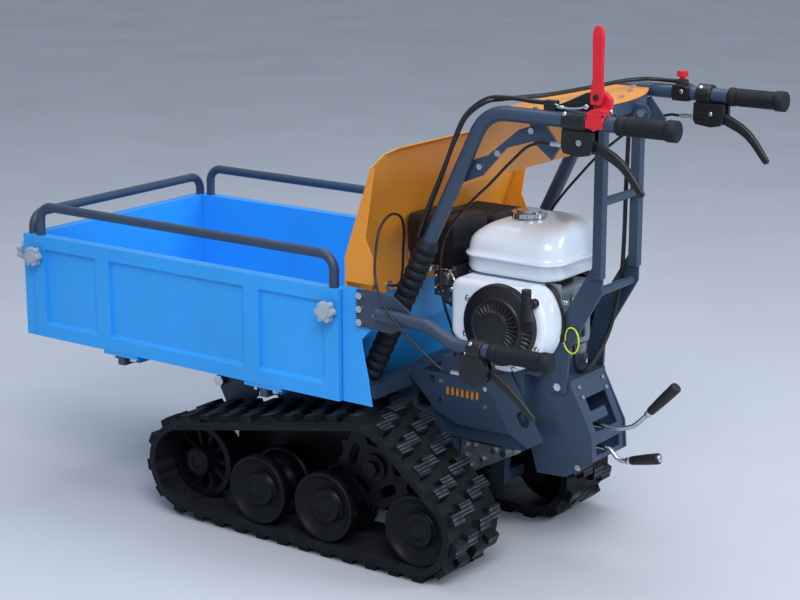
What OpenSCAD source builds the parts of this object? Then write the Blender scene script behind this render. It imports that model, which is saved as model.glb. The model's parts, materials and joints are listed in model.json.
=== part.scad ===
// Tracked power carrier: a walk-behind crawler with an extending tip bed, a petrol engine and a handlebar.
// Millimetres. X points to the front (the bed), Y to the left, Z up, and Z = 0 is the ground under the lugs.

/* [Tracks] */
// width of one rubber track
track_w = 180; // [166:2:184]
// width over both tracks
track_span = 640; // [636:2:650]
// thickness of the rubber band without lugs
band_t = 16; // [14:1:18]
// height of a tread lug above the band
lug_h = 15; // [12:1:18]
// wanted spacing of the lugs along the band, rounded to a whole number of lugs
lug_pitch = 60; // [52:1:72]
// radius of the three road rollers of one side
roller_r = 77; // [72:1:80]
// radius of the front idler
idler_r = 85; // [80:1:88]
// radius over the teeth of the drive sprocket
sprocket_r = 96; // [92:1:100]
// teeth on the drive sprocket
sprocket_teeth = 14; // [12:1:18]

/* [Bed] */
// width over the two side panels
bed_w = 620; // [612:2:632]
// height of the panels
bed_h = 240; // [230:2:270]
// thickness of a folded panel
panel_t = 28; // [27:1:30]
// thickness of the panel sheet
sheet_t = 2; // [1.5:0.5:2]
// depth of the recessed fields in the outer faces
recess_d = 8; // [5:1:9]

/* [Rails] */
// radius of a rail tube
rail_r = 10.5; // [9:0.5:10.5]
// height of the side rails' axis above the panels
rail_up = 68; // [60:2:90]
// height of the front rail's axis above the panel
front_rail_up = 46; // [44:2:56]
// bend radius of the rails
rail_bend = 34; // [30:1:40]
// radius over the lobes of a star knob
knob_r = 23; // [20:1:25]

/* [Handlebar] */
// radius of the handlebar tubes
tube_r = 15; // [14:0.5:16]
// distance of each tube from the middle
handle_y = 228; // [224:1:232]
// height of the tubes at the grips
handle_z = 982; // [970:1:1000]
// bend radius at the top of the legs
handle_bend = 75; // [60:5:90]
// radius of the rubber grips
grip_r = 19.5; // [18:0.5:21]
// length of the rubber grips
grip_l = 126; // [110:2:134]

/* [Engine] */
// radius of the recoil starter
recoil_r = 86; // [78:1:90]
// radius of the round part of the fan cover
fan_r = 102; // [96:1:102]
// radius of the fuel cap
cap_r = 36; // [28:1:38]

/* [Fits] */
// radial clearance of pins and shafts that turn
run_fit = 0.06; // [0.04:0.01:0.1]
// clearance of posts and bars that slide
slide_fit = 0.1; // [0.06:0.01:0.2]
// gap between the wheels and the inside of the track
wheel_gap = 1; // [0.8:0.1:1.5]

/* [Hidden] */
$fn = 64;
slate = "#3a4656";
blue = "#1f86e0";
yellow = "#e79a1c";
rubber = "#1d1e20";
black = "#17181a";
white = "#e6e8e8";
zinc = "#b9bec4";
alloy = "#8f9496";
red = "#d0202a";

// Sizing rings on bent tubes: length, thickness over the tube, and the play hidden under them
ring_l = 6;
ring_t = 0.3;
ring_gap = 0.5;

// Track loop: centres and radii, counter-clockwise in X and Z from the rear roller
roller_z = roller_r + wheel_gap + band_t + lug_h;
roller_x = [119, -64, -306];
idler_x = 322;
idler_z = roller_z + 15;
sprocket_x = -162;
sprocket_z = roller_z + 95;
loop = [
    [roller_x[2], roller_z, roller_r],
    [roller_x[0], roller_z, roller_r],
    [idler_x, idler_z, idler_r],
    [sprocket_x, sprocket_z, sprocket_r]
];
track_y1 = track_span / 2;
track_y0 = track_y1 - track_w;
wheel_y = track_y1 - 12;
band_out = wheel_gap + band_t;

// Tread rows across one track: margin, gap in the middle, and the shift of each row along the band
row_margin = 8;
row_gap = 8;
row_shift = [0, 0.2, 0.5, 0.7];
row_w = (track_w - 2 * row_margin - row_gap) / 4;
lug_base = 34;
lug_top = 25;
lug_root = 3;

// how far the straight runs of the belt lie inside the tangents of the arcs
loop_sink = 0.2;

// Bed places
bed_z = 355;
bed_front = 812;
panel_x0 = -114;
panel_x1 = bed_front - panel_t - 1;
side_y = bed_w / 2;
side_in = side_y - panel_t;
floor_y = side_in - 2;
floor_z = bed_z + 3;
floor_t = 3;
panel_top = bed_z + bed_h;
ear_y1 = side_y - 10;
ear_t = 3;
wall_x = -116;
wall_t = 3;
wall_top = panel_top + 8;
wall_knee_z = 480;
wall_foot_x = -75;

// Panel ribs as spans from the rear end of a side panel, and from one end of the front panel
side_len = panel_x1 - panel_x0;
side_ribs = [[0, 38], [216, 258], [655, 696], [side_len - 36, side_len]];
front_ribs = [[0, 40], [bed_w / 2 - 20, bed_w / 2 + 20], [bed_w - 40, bed_w]];
side_posts = [22, side_len - 16];
front_posts = [20, bed_w - 20];
field_low = 38;
field_high = 37;
field_slope = 8;
post_depth = 110;
knob_drop = 46;
knob_h = 28;
stud_r = 4;

// Slide bars under the bed
bar_w = 20;
bar_z = 326;
sleeve_t = 4;
side_bar_x = [515, 96];
side_bar_in = 62;
side_sleeve_in = 40;
side_sleeve_out = side_in - 20;
front_bar_y = 200;
front_bar_in = 545;
front_sleeve = [540, 740];
foot_len = 104;
foot_gap = 0.05;
foot_t = bed_z - bar_z - bar_w - foot_gap;
leaf_t = 2.5;
leaf_in = 112;
front_leaf_in = 600;
clamp_bolt_off = 26;

// Tipping hinge and under-frame
pivot_x = 386;
pivot_z = 267;
pivot_r = 10;
rail_y0 = 78;
rail_y1 = 102;
rail_z0 = 255;
rail_z1 = 300;
under_z = bar_z - sleeve_t;
under_top = bar_z + bar_w + sleeve_t;
under_y0 = 84;
under_y1 = 100;

// Shield, as points in X and Z
shield_t = 2.5;
shield_y = 295;
shield_low = 560;
shield_knee = 663;
shield_front = [[-119, shield_low], [-119, shield_knee], [-186, 855], [-196, 880], [-220, 893]];
shield_back = [[-221.2, 890.8], [-198.2, 878.4], [-188.6, 854], [-121.5, shield_knee - 0.5],
    [-121.5, shield_low]];
shield_edge = [[-shield_y, shield_low], [shield_y, shield_low], [shield_y, 855], [243, 894], [-243, 894],
    [-shield_y, 855]];
shield_flange = [[-119, 612], [-119, shield_knee], [-186, 855], [-196, 853], [-172, 707], [-198, 653],
    [-190, 612]];

// Ear and tip handle, as points in X and Z
ear_pts = [[wall_x, bed_z], [wall_x, wall_top], [-159, wall_top], [-222, 600], [-222, 534], [-190, 520],
    [-165, 494], [-172, 455], [-182, 414], [-184, 397], [-192, bed_z]];
tip_plate = [[-156, 602], [-213, 604], [-251, 597], [-292, 570], [-270, 532], [-243, 521], [-156, 524]];
tip_bolts = [[-166, 590], [-166, 562], [-166, 534], [-209, 553]];
tip_plate_t = 5;
tip_r = 14;
tip_y = ear_y1 + tip_plate_t + tip_r - 2;
tip_path = [[-218, 560], [-342, 557], [-412, 527], [-630, 527]];
tip_bend = 45;
tip_z = tip_path[3][1];
tip_grip = [-634, -494];
tip_grip_r = 19;
tip_pivot = [-478, 488];
tip_lever_pts = [[4, -10], [-8, -11], [-36, -26], [-66, -48], [-96, -72], [-116, -86], [-122, -78],
    [-108, -60], [-74, -30], [-40, -8], [-8, 10], [4, 10], [10, 4], [10, -4]];

// End case of the gearbox, its bolts and plug, as points in X and Z
gearbox_bolts = [[-290, 238], [-311, 240], [-362, 240], [-287, 212], [-332, 214], [-300, 194]];
gearbox_plug = [-389, 240];
gearbox_case = [[-278, 250], [-278, 198], [-292, 178], [-302, 180], [-412, 238], [-412, 250]];

// Handlebar, as points in X and Z
leg_foot = [-132, 392];
leg_slope = 0.4865;
leg_top = [leg_foot[0] - (handle_z - leg_foot[1]) * leg_slope, handle_z];
handle_end = -836;
grip_end = -840;
tube_wall = 2.5;
leg_tilt = -atan(leg_slope);
gusset_pts = [[-337, 824], [-361, 873], [-414, 893], [-484, 950], [-540, 970], [-578, 925], [-560, 898],
    [-517, 930], [-456, 911], [-400, 850]];
gusset_bolts = [[-396, 868], [-438, 899], [-515, 951]];
gusset_t = 6;
gusset_y = handle_y - tube_r - gusset_t;
console_z = handle_z + 4;
console_rear = -600;
console_pts = [[console_rear, console_z], [-440, console_z], [-420, 971], [-349, 824], [-346.7, 825.2],
    [-417.7, 972.5], [-438.5, console_z + 2.5], [console_rear, console_z + 2.5]];
console_bolts = [[-509, 191], [-539, 127], [-566, 41]];

// Plan of the console's curved rear edge: centre in X, radius, and the width of the bar under it
rim_x = -175;
rim_r = 417;
rim_w = 18;

// Controls
lever_x = -640;
lever_z = handle_z - 38;
lever_t = 12;
lever_pin = 4;
lever_pts = [[5, -11], [-8, -12], [-40, -24], [-72, -38], [-96, -62], [-114, -86], [-124, -94],
    [-132, -88], [-128, -76], [-106, -44], [-80, -18], [-44, -4], [-10, 10], [5, 11], [11, 5], [11, -5]];
clutch_x = -667;
clutch_z = handle_z + 49;
clamp_x0 = -577;
clamp_x1 = -550;
kill_x0 = -627;
kill_x1 = -590;
kill_x = -604;
// how far the right brake lever sits behind the left one
right_back = 34;

// Gear levers, as points in X and Z
gear_x = -452;
gear_y = 14;
gear_pin = 5;
speed_rod = [[-460, 316], [-600, 316], [-690, 397]];
speed_grip = [-682, 389.8];
reverse_rod = [[-460, 268], [-610, 268], [-650, 278]];
reverse_grip = [-640, 275.5];

// Chassis box and cover, as points in X and Z
deck_z = 430;
box_y = 70;
box_t = 4;
rear_z = 408;
box_pts = [[-436, 424], [-436, 250], [-452, 201], [-523, 205], [-586, 248], [-581, 306], [-529, rear_z - 2],
    [-529, rear_z], [-474, rear_z], [-474, 424]];
gate_pts = [[-527.7, rear_z], [-577, 306], [-582, 246], [-578, 246], [-573, 305], [-522.7, rear_z]];
cover_y = 120;
cover_t = 3;
cover_pts = [[-164, 394], [-162, 376], [-229, 310], [-281, 290], [-356, 289], [-417, 291], [-355, 394]];
cover_rivets = [[-242, 377], [-355, 379], [-242, 339], [-355, 340]];
post_y = 73;
post_w = 20;
post_x = -590;
post_low = 640;
tab_bolt = [-604, 960];
tab_pts = [[-604, 944], [-560, 952], [-527, 968], [-527, handle_z + 3], [-604, 976]];
brace_pts = [[-600, 668], [-580, 668], [-500, 532], [-485, 450], [-485, 386], [-522, 386], [-526, 480],
    [-600, 610]];

// Engine
crank_x = -409;
crank_z = 533;
block_y = [-100, 78];
fan_y = [78, 150];
fan_top = 616;
block_top = 590;
tank_z = 620;
seam_z = 660;
shoulder_z = seam_z + 30;
brow_z = seam_z + 62;
tank_top = 736;
tank_x = [-508, -284];
tank_y = [-92, 112];
cap_x = -389;
cap_y = 18;
grip_pull = [-489, 166, 590];

// Cable routes, as points in X, Y and Z, and the cable radii
clutch_route = [[clamp_x1, 222, 1010], [-536, 222, 1010], [-520, 222, 1010], [-470, 222, 1012],
    [-418, 224, 1006], [-372, 228, 972], [-345, 230, 920], [-318, 230, 850], [-288, 230, 780],
    [-262, 230, 712]];
wire_route = [[kill_x1, -228, 1004], [-580, -228, 1004], [-570, -228, 1004], [-545, -222, 1005],
    [-526, -206, 1006], [-514, -180, 1006], [-505, -140, 1006], [-492, -40, 1004], [-478, 90, 1004],
    [-460, 170, 1006], [-444, 208, 1006], [-420, 232, 1001], [-380, 240, 970], [-352, 240, 918],
    [-322, 240, 850], [-290, 240, 780], [-264, 238, 714]];
left_route = [[-568, 228, 933], [-556, 228, 933], [-542, 228, 932], [-510, 222, 920], [-475, 206, 895],
    [-440, 194, 866], [-400, 187, 828], [-360, 184, 792], [-312, 182, 740], [-284, 180, 690],
    [-276, 178, 620], [-274, 160, 560], [-268, 128, 510], [-262, 104, 475], [-260, 98, 456],
    [-260, 98, 443], [-260, 98, deck_z]];
right_route = [[-602, -228, 933], [-590, -228, 933], [-576, -228, 932], [-540, -222, 922],
    [-500, -210, 898], [-460, -202, 866], [-420, -198, 830], [-380, -196, 786], [-340, -196, 740],
    [-306, -194, 690], [-286, -188, 620], [-276, -164, 550], [-268, -128, 500], [-262, -104, 472],
    [-260, -98, 456], [-260, -98, 443], [-260, -98, deck_z]];
post_route = [[-574, -62, 949], [-573, -62, 900], [-571, -62, 800], [-570, -62, 700], [-567, -61, 620],
    [-562, -52, 560], [-557, -38, 510], [-550, -18, 470], [-541, 2, 440], [-528, 14, 423],
    [-512, 13, 421], [-500, 2, 427], [-490, -10, 443], [-484, -17, 459], [-479, -19.6, 468],
    [-475, -20, 470], [-472.3, -20, 470]];
lanyard_pts = [[-518, 77.6, 501], [-520, 79.2, 515], [-526, 80.6, 527], [-535, 81, 531], [-544, 81, 527],
    [-551, 81, 513], [-552, 81, 497], [-547, 81, 483], [-537, 81, 477], [-526, 81.2, 482],
    [-520, 81.6, 491], [-517.6, 82, 498]];
tip_route = [[-402, tip_y, 471], [-393, tip_y, 471], [-382, tip_y + 1, 473], [-366, 322, 482],
    [-346, 328, 500], [-320, 334, 522], [-285, 334.2, 549], [-245, 332, 588], [-215, 318, 632],
    [-205, 305, 680], [-201, 286, 728], [-200, 250, 752], [-194, 205, 742], [-180, 172, 706],
    [-168, 158, 660], [-162, 151, 622], [-159, 150, 602], [-157, 150, 591], [-152, 150, 582.5],
    [-144, 150, 577], [-135.5, 150, 575], [-127.5, 150, 575]];
thick_cable = 4.5;
thin_cable = 3;
lanyard_r = 1.6;
tip_cable_r = 2.75;

// Helpers

module box(lo, hi) {
    translate(lo) cube(hi - lo);
}

module both_sides() {
    children();
    mirror([0, 1, 0]) children();
}

// a flat drawing in X and Z, made solid between two Y values
module xz_plate(y0, y1) {
    translate([0, y1, 0]) rotate([90, 0, 0]) linear_extrude(y1 - y0) children();
}

// a flat drawing in Y and Z, made solid between two X values
module yz_plate(x0, x1) {
    translate([x0, 0, 0]) rotate([90, 0, 90]) linear_extrude(x1 - x0) children();
}

module y_rod(x, z, y0, y1, r) {
    translate([x, y0, z]) rotate([-90, 0, 0]) cylinder(h = y1 - y0, r = r);
}

module x_rod(y, z, x0, x1, r) {
    translate([x0, y, z]) rotate([0, 90, 0]) cylinder(h = x1 - x0, r = r);
}

module hex_head(r, h) {
    cylinder(h = h, r = r, $fn = 6);
}

// a box tube along X, open at both ends
module box_tube_x(lo, hi, wall) {
    difference() {
        box(lo, hi);
        box([lo[0] - 1, lo[1] + wall, lo[2] + wall], [hi[0] + 1, hi[1] - wall, hi[2] - wall]);
    }
}

function heading(a, b) = atan2(b[1] - a[1], b[0] - a[0]);
function wrap(a) = a > 180 ? a - 360 : (a < -180 ? a + 360 : a);
function corner_turn(p, i) = wrap(heading(p[i], p[i + 1]) - heading(p[i - 1], p[i]));
function corner_trim(p, i, rb) = (i == 0 || i == len(p) - 1) ? 0 : rb * tan(abs(corner_turn(p, i)) / 2);

// a sizing ring where a straight length meets a bend, its axis along the tube
module tube_ring(r, wall) {
    translate([0, 0, -ring_l / 2]) linear_extrude(ring_l) difference() {
        circle(r + ring_t);
        if (wall < r) circle(r - wall - ring_t);
    }
}

module tube_2d(r, wall) {
    difference() {
        circle(r);
        if (wall < r) circle(r - wall);
    }
}

// a bent tube in the drawing plane: straight lengths, round bends and a ring at each joint
module bent_tube(p, rb, r, wall) {
    last = len(p) - 1;
    for (i = [0 : last - 1]) {
        a = heading(p[i], p[i + 1]);
        t0 = corner_trim(p, i, rb) + (i == 0 ? 0 : ring_gap);
        t1 = corner_trim(p, i + 1, rb) + (i + 1 == last ? 0 : ring_gap);
        translate([p[i][0] + t0 * cos(a), p[i][1] + t0 * sin(a), 0]) rotate([0, 90, a])
            linear_extrude(norm(p[i + 1] - p[i]) - t0 - t1) tube_2d(r, wall);
    }
    for (i = [1 : last - 1]) {
        turn = corner_turn(p, i);
        side = turn > 0 ? 1 : -1;
        a0 = heading(p[i - 1], p[i]);
        a1 = heading(p[i], p[i + 1]);
        trim = corner_trim(p, i, rb);
        slack = ring_gap / rb * 180 / PI;
        centre = p[i] - trim * [cos(a0), sin(a0)] + side * rb * [-sin(a0), cos(a0)];
        start = turn > 0 ? a0 - 90 : a1 + 90;
        translate([centre[0], centre[1], 0]) rotate([0, 0, start + slack])
            rotate_extrude(angle = abs(turn) - 2 * slack) translate([rb, 0]) tube_2d(r, wall);
        translate([p[i][0] - trim * cos(a0), p[i][1] - trim * sin(a0), 0]) rotate([0, 90, a0])
            tube_ring(r, wall);
        translate([p[i][0] + trim * cos(a1), p[i][1] + trim * sin(a1), 0]) rotate([0, 90, a1])
            tube_ring(r, wall);
    }
}

// the same bent tube standing in X and Z at a given Y
module bent_tube_xz(y, p, rb, r, wall) {
    translate([0, y, 0]) rotate([90, 0, 0]) bent_tube(p, rb, r, wall);
}

// a smooth cable through route points, as one closed skin
function smooth_point(p, i, t) =
    let (a = p[max(i - 1, 0)], b = p[i], c = p[i + 1], d = p[min(i + 2, len(p) - 1)])
    0.5 * (2 * b + (c - a) * t + (2 * a - 5 * b + 4 * c - d) * t * t + (3 * b - a - 3 * c + d) * t * t * t);
function smooth_route(p, n) = concat([for (i = [0 : len(p) - 2]) for (k = [0 : n - 1])
    smooth_point(p, i, k / n)],
    [p[len(p) - 1]]);
function unit(v) = v / norm(v);
function route_dir(q, i) = unit(q[min(i + 1, len(q) - 1)] - q[max(i - 1, 0)]);
cable_ref = unit([0.85, -0.6, 0.2]);

module cable(p, r, steps, sides) {
    q = smooth_route(p, steps);
    rings = [for (i = [0 : len(q) - 1])
        let (t = route_dir(q, i), u = unit(cross(t, cable_ref)), v = cross(t, u))
        for (k = [0 : sides - 1]) q[i] + r * (cos(360 * k / sides) * u + sin(360 * k / sides) * v)];
    last = (len(q) - 1) * sides;
    skin = [for (i = [0 : len(q) - 2]) for (k = [0 : sides - 1])
        let (a = i * sides + k, b = i * sides + (k + 1) % sides)
        each [[a, a + sides, b], [b, a + sides, b + sides]]];
    caps = [[for (k = [0 : sides - 1]) k], [for (k = [sides - 1 : -1 : 0]) last + k]];
    polyhedron(rings, concat(skin, caps));
}

// Track loop geometry

function loop_angle(i) =
    let (a = loop[i], b = loop[(i + 1) % 4], d = [b[0] - a[0], b[1] - a[1]])
    atan2(d[1], d[0]) - acos((a[2] - b[2]) / norm(d));
function loop_point(i, ang, g) =
    let (c = loop[i], r = c[2] + g)
    [c[0] + r * cos(ang), c[1] + r * sin(ang)];
function loop_turn(i) = let (t = loop_angle(i) - loop_angle((i + 3) % 4)) t < 0 ? t + 360 : t % 360;
function loop_lengths(g) = [for (i = [0 : 3]) each [
    (loop[i][2] + g) * loop_turn(i) * PI / 180,
    norm(loop_point((i + 1) % 4, loop_angle(i), g) - loop_point(i, loop_angle(i), g))]];
function total(v, i = 0) = i == len(v) ? 0 : v[i] + total(v, i + 1);
function on_arc(i, s, g) =
    let (ang = loop_angle((i + 3) % 4) + s / (loop[i][2] + g) * 180 / PI)
    [loop_point(i, ang, g), ang];
function on_line(i, s, g) =
    let (ang = loop_angle(i))
    [loop_point(i, ang, g) + s * [-sin(ang), cos(ang)], ang];
function loop_at(s, g, len_list, k = 0) =
    s > len_list[k] && k < 7 ? loop_at(s - len_list[k], g, len_list, k + 1)
    : (k % 2 == 0 ? on_arc(k / 2, s, g) : on_line((k - 1) / 2, s, g));

module loop_2d(g) {
    for (c = loop) translate([c[0], c[1]]) circle(c[2] + g, $fn = 128);
    polygon([for (i = [0 : 3]) each [loop_point(i, loop_angle(i), g - loop_sink),
        loop_point((i + 1) % 4, loop_angle(i), g - loop_sink)]]);
}

// the lugs of one tread row
module lugs_2d(shift) {
    lens = loop_lengths(band_out);
    around = total(lens);
    count = round(around / lug_pitch);
    step = around / count;
    for (k = [0 : count - 1]) {
        at = loop_at((k + shift) * step, band_out, lens);
        translate(at[0]) rotate(at[1] - 90)
            polygon([[-lug_base / 2, -lug_root], [lug_base / 2, -lug_root], [lug_top / 2, lug_h],
                [-lug_top / 2, lug_h]]);
    }
}

module track_belt() {
    color(rubber) {
        xz_plate(track_y0, track_y1) difference() {
            loop_2d(band_out);
            loop_2d(wheel_gap);
        }
        for (k = [0 : 3]) {
            y0 = track_y0 + row_margin + k * row_w + (k > 1 ? row_gap : 0);
            xz_plate(y0, y0 + row_w) lugs_2d(row_shift[k]);
        }
    }
}

module track_left() {
    track_belt();
}

module track_right() {
    mirror([0, 1, 0]) track_belt();
}

// Wheels, drawn on the left

axle_y = track_y0 + 55;
roller_pin = 10;
idler_pin = 12;
shaft_r = 14;
shaft_in = 95;

// half section of a roller, radius against the distance from the middle of the machine
module roller_half() {
    hole = roller_pin + run_fit;
    outer = wheel_y - 24;
    inner = axle_y + 17;
    rim = roller_r - 11;
    polygon([[hole, axle_y + 10], [28, axle_y + 10], [28, inner], [rim, inner], [rim, axle_y + 10],
        [roller_r, axle_y + 10], [roller_r, axle_y + 28], [rim, axle_y + 28], [rim, inner + 5],
        [28, inner + 5], [28, outer], [roller_r, outer], [roller_r, wheel_y - 2], [roller_r - 2, wheel_y],
        [roller_r - 4, wheel_y], [roller_r - 6, wheel_y - 2], [36, outer + 5], [28, outer + 5],
        [28, wheel_y - 10], [24, wheel_y - 6], [0, wheel_y - 6], [0, wheel_y - 8.4], [hole, wheel_y - 8.4]]);
}

module roller() {
    color(black) rotate([-90, 0, 0]) rotate_extrude($fn = 96) roller_half();
}

module roller_at(k) {
    translate([roller_x[k], 0, roller_z]) roller();
}

module idler() {
    color(black) translate([idler_x, 0, idler_z]) {
        rotate([-90, 0, 0]) rotate_extrude($fn = 96) {
            difference() {
                translate([0, axle_y + 6]) square([32, 72]);
                translate([0, axle_y]) square([idler_pin + run_fit, 67]);
            }
            translate([idler_r - 14, axle_y + 10]) square([14, 52]);
        }
        xz_plate(axle_y + 20, axle_y + 50) for (k = [0 : 9]) rotate(36 * k)
            translate([28, -5]) square([idler_r - 38, 10]);
    }
}

module sprocket() {
    color(black) translate([sprocket_x, 0, sprocket_z]) {
        xz_plate(axle_y + 45, axle_y + 57) difference() {
            union() {
                circle(sprocket_r - 9, $fn = 96);
                for (k = [0 : sprocket_teeth - 1]) rotate(360 * k / sprocket_teeth)
                    polygon([[sprocket_r - 14, -11], [sprocket_r - 0.6, -5], [sprocket_r - 0.6, 5],
                        [sprocket_r - 14, 11]]);
            }
            for (k = [0 : 4]) rotate(72 * k + 20) {
                translate([58, -14]) circle(11);
                translate([58, 14]) circle(11);
                translate([47, -14]) square([22, 28]);
            }
        }
        y_rod(0, 0, shaft_in, axle_y + 60, shaft_r);
        y_rod(0, 0, axle_y + 30, axle_y + 64, 30);
        translate([0, axle_y + 64, 0]) rotate([-90, 0, 0]) hex_head(17, 11);
    }
}

module sprocket_left() {
    sprocket();
}

module sprocket_right() {
    mirror([0, 1, 0]) sprocket();
}

module idler_left() {
    idler();
}

module idler_right() {
    mirror([0, 1, 0]) idler();
}

module roller_left_1() {
    roller_at(0);
}

module roller_left_2() {
    roller_at(1);
}

module roller_left_3() {
    roller_at(2);
}

module roller_right_1() {
    mirror([0, 1, 0]) roller_at(0);
}

module roller_right_2() {
    mirror([0, 1, 0]) roller_at(1);
}

module roller_right_3() {
    mirror([0, 1, 0]) roller_at(2);
}

// Chassis

track_beam_y = track_y0 + 20;

module track_frames() {
    color(slate) both_sides() {
        box_tube_x([-330, track_beam_y, roller_z - 22], [345, axle_y, roller_z + 28], 4);
        xz_plate(track_beam_y + 2, track_beam_y + 8) polygon([[-110, roller_z + 27], [290, roller_z + 27],
            [285, roller_z + 86], [-100, roller_z + 153]]);
        for (x = roller_x) y_rod(x, roller_z, axle_y - 4, wheel_y - 8.7, roller_pin);
        y_rod(idler_x, idler_z, axle_y - 4, axle_y + 66, idler_pin);
    }
}

module chassis_frame() {
    color(slate) {
        both_sides() {
            box_tube_x([-420, rail_y0, rail_z0], [330, rail_y1, rail_z1], 3);
            xz_plate(rail_y1, rail_y1 + 6) polygon([[280, 245], [280, 300], [399, 300], [399, 258],
                [374, 212], [320, 212]]);
            for (x = [[190, 225], [-275, -240]]) {
                box([x[0], rail_y0, 95], [x[1], rail_y1, rail_z0]);
                box([x[0], rail_y1 - 1, 97], [x[1], track_beam_y, 122]);
            }
            box([-160, 86, rail_z1 - 1], [-110, 94, 353]);
            box([-60, 84, rail_z1], [-30, 98, under_z - 0.3]);
            translate([leg_foot[0], handle_y, leg_foot[1]]) rotate([0, leg_tilt + 180, 0])
                cylinder(h = 34, r = tube_r + 6);
        }
        y_rod(pivot_x, pivot_z, -rail_y1 - 13, rail_y1 + 13, pivot_r);
        for (x = [[300, 330], [150, 180], [-100, -70]])
            box([x[0], -rail_y0, rail_z0 + 3], [x[1], rail_y0, rail_z1 - 3]);
        box([-160, -handle_y - 18, 352], [-110, handle_y + 18, 380]);
    }
}

module gearbox() {
    color(alloy) difference() {
        union() {
            xz_plate(-72, 72) polygon([[-120, 168], [-120, 250], [-404, 250], [-404, 236], [-290, 168]]);
            y_rod(sprocket_x, sprocket_z, -135, 135, 36);
            xz_plate(71, 98) polygon(gearbox_case);
            y_rod(-330, 235, -104, -71, 19);
            for (x = [[-380, -300], [-230, -150]]) box([x[0], -100, 249], [x[1], 100, rail_z0]);
        }
        both_sides() y_rod(sprocket_x, sprocket_z, shaft_in - 4, 136, shaft_r + run_fit);
    }
}

// the outline round two circles
module capsule_2d(c0, r0, c1, r1) {
    d = c1 - c0;
    mid = atan2(d[1], d[0]);
    off = acos((r0 - r1) / norm(d));
    translate(c0) circle(r0);
    translate(c1) circle(r1);
    polygon([for (e = [[c0, r0, -off], [c1, r1, -off], [c1, r1, off], [c0, r0, off]])
        e[0] + (e[1] - 0.3) * [cos(mid + e[2]), sin(mid + e[2])]]);
}

module belt_guard() {
    color(black) difference() {
        xz_plate(-136, -rail_y1 - 5) capsule_2d([crank_x, crank_z], 74, [-330, 235], 62);
        xz_plate(-133.5, -rail_y1 - 4) capsule_2d([crank_x, crank_z], 71, [-330, 235], 59);
    }
}

module rear_box() {
    color(slate) {
        both_sides() {
            xz_plate(rail_y1, rail_y1 + 5) polygon([[-440, 255], [-200, 255], [-200, 300], [-235, 424],
                [-440, 424]]);
            xz_plate(box_y - box_t, box_y) polygon(box_pts);
        }
        box([-475, -rail_y1 - 5, 424], [-235, rail_y1 + 5, deck_z]);
        box([-529, -box_y, rear_z], [-474, box_y, rear_z + 6]);
        box([-479, -box_y, rear_z], [-474, box_y, deck_z]);
        translate([gear_x, gear_y, 250]) cylinder(h = 84, r = gear_pin);
        box([gear_x, gear_y - 7, 282], [-438, gear_y + 7, 302]);
        box([-440, -rail_y1 - 5, 255], [-436, rail_y1 + 5, 425]);
    }
}

module gate_plate() {
    color(slate) difference() {
        xz_plate(-box_y + box_t, box_y - box_t) polygon(gate_pts);
        box([-600, -44, 345], [-500, 36, 372]);
        box([-600, -44, 306], [-500, -22, 350]);
        box([-600, -44, 306], [-500, 44, 326]);
        box([-600, -48, 256], [-500, 46, 280]);
    }
}

// the plane of the cover's folded rear flap, its upper corner on the fold at the origin
module cover_fold() {
    translate([-355, cover_y + cover_t, 394]) rotate([0, 31.05, 0]) rotate([0, 0, 11]) children();
}

// the left cover: plate, folded rear flap and the coloured plate behind its slots
module side_cover() {
    color(slate) difference() {
        union() {
            xz_plate(cover_y, cover_y + cover_t) polygon(cover_pts);
            cover_fold() xz_plate(-cover_t, 0)
                polygon([[0, 0], [-62, 0], [-62, -162], [-23, -162], [0, -120]]);
            for (p = cover_rivets) y_rod(p[0], p[1], rail_y1 + 5, cover_y + 1, 6);
        }
        y_rod(-218, 379, cover_y - 1, cover_y + cover_t + 1, 8);
        cover_fold() for (z = [-96, -110]) y_rod(-42, z, -cover_t - 1, 1, 11);
        cover_fold() box([-53, -cover_t - 1, -110], [-31, 1, -96]);
        for (k = [0 : 6]) box([-337 + 12.5 * k, cover_y - 1, 350],
            [-329 + 12.5 * k, cover_y + cover_t + 1, 369]);
    }
    color(yellow) box([-344, cover_y - 2, 345], [-250, cover_y, 374]);
}

// Handlebar

module handlebar() {
    color(slate) both_sides()
        bent_tube_xz(handle_y, [leg_foot, leg_top, [handle_end, handle_z]], handle_bend, tube_r, tube_wall);
}

module console_frame() {
    color(slate) {
        both_sides() {
            box([post_x - post_w / 2, post_y - post_w / 2, post_low],
                [post_x + post_w / 2, post_y + post_w / 2, handle_z - 14]);
            xz_plate(box_y, box_y + 6) polygon(brace_pts);
            xz_plate(gusset_y, gusset_y + gusset_t) polygon(gusset_pts);
            xz_plate(post_y - post_w / 2 - 4, post_y - post_w / 2 + 1) {
                translate(tab_bolt) circle(17);
                polygon(tab_pts);
            }
        }
        for (z = [610, 795]) y_rod(post_x + (z < post_low ? 4 : 0), z, -post_y + 1, post_y - 1, 9);
        intersection() {
            translate([rim_x, 0, handle_z - 22]) linear_extrude(console_z - handle_z + 22) difference() {
                circle(rim_r - 2, $fn = 128);
                circle(rim_r - 2 - rim_w, $fn = 128);
            }
            box([console_rear, -handle_y + tube_r, handle_z - 30], [-480, handle_y - tube_r, console_z + 10]);
        }
    }
}

module console() {
    color(yellow) intersection() {
        xz_plate(-gusset_y, gusset_y) polygon(console_pts);
        translate([rim_x, 0, 800]) cylinder(h = console_z - 700, r = rim_r, $fn = 128);
    }
}

module handle_grips() {
    color(rubber) both_sides() difference() {
        union() {
            x_rod(handle_y, handle_z, grip_end, grip_end + grip_l, grip_r);
            x_rod(handle_y, handle_z, grip_end + 2, grip_end + 12, grip_r + 1.5);
        }
        x_rod(handle_y, handle_z, handle_end, grip_end + grip_l + 1, tube_r);
    }
}

// Controls

// a left-hand brake piece, and its twin further back on the right tube
module right_brake() {
    translate([-right_back, 0, 0]) mirror([0, 1, 0]) children();
}

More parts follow.
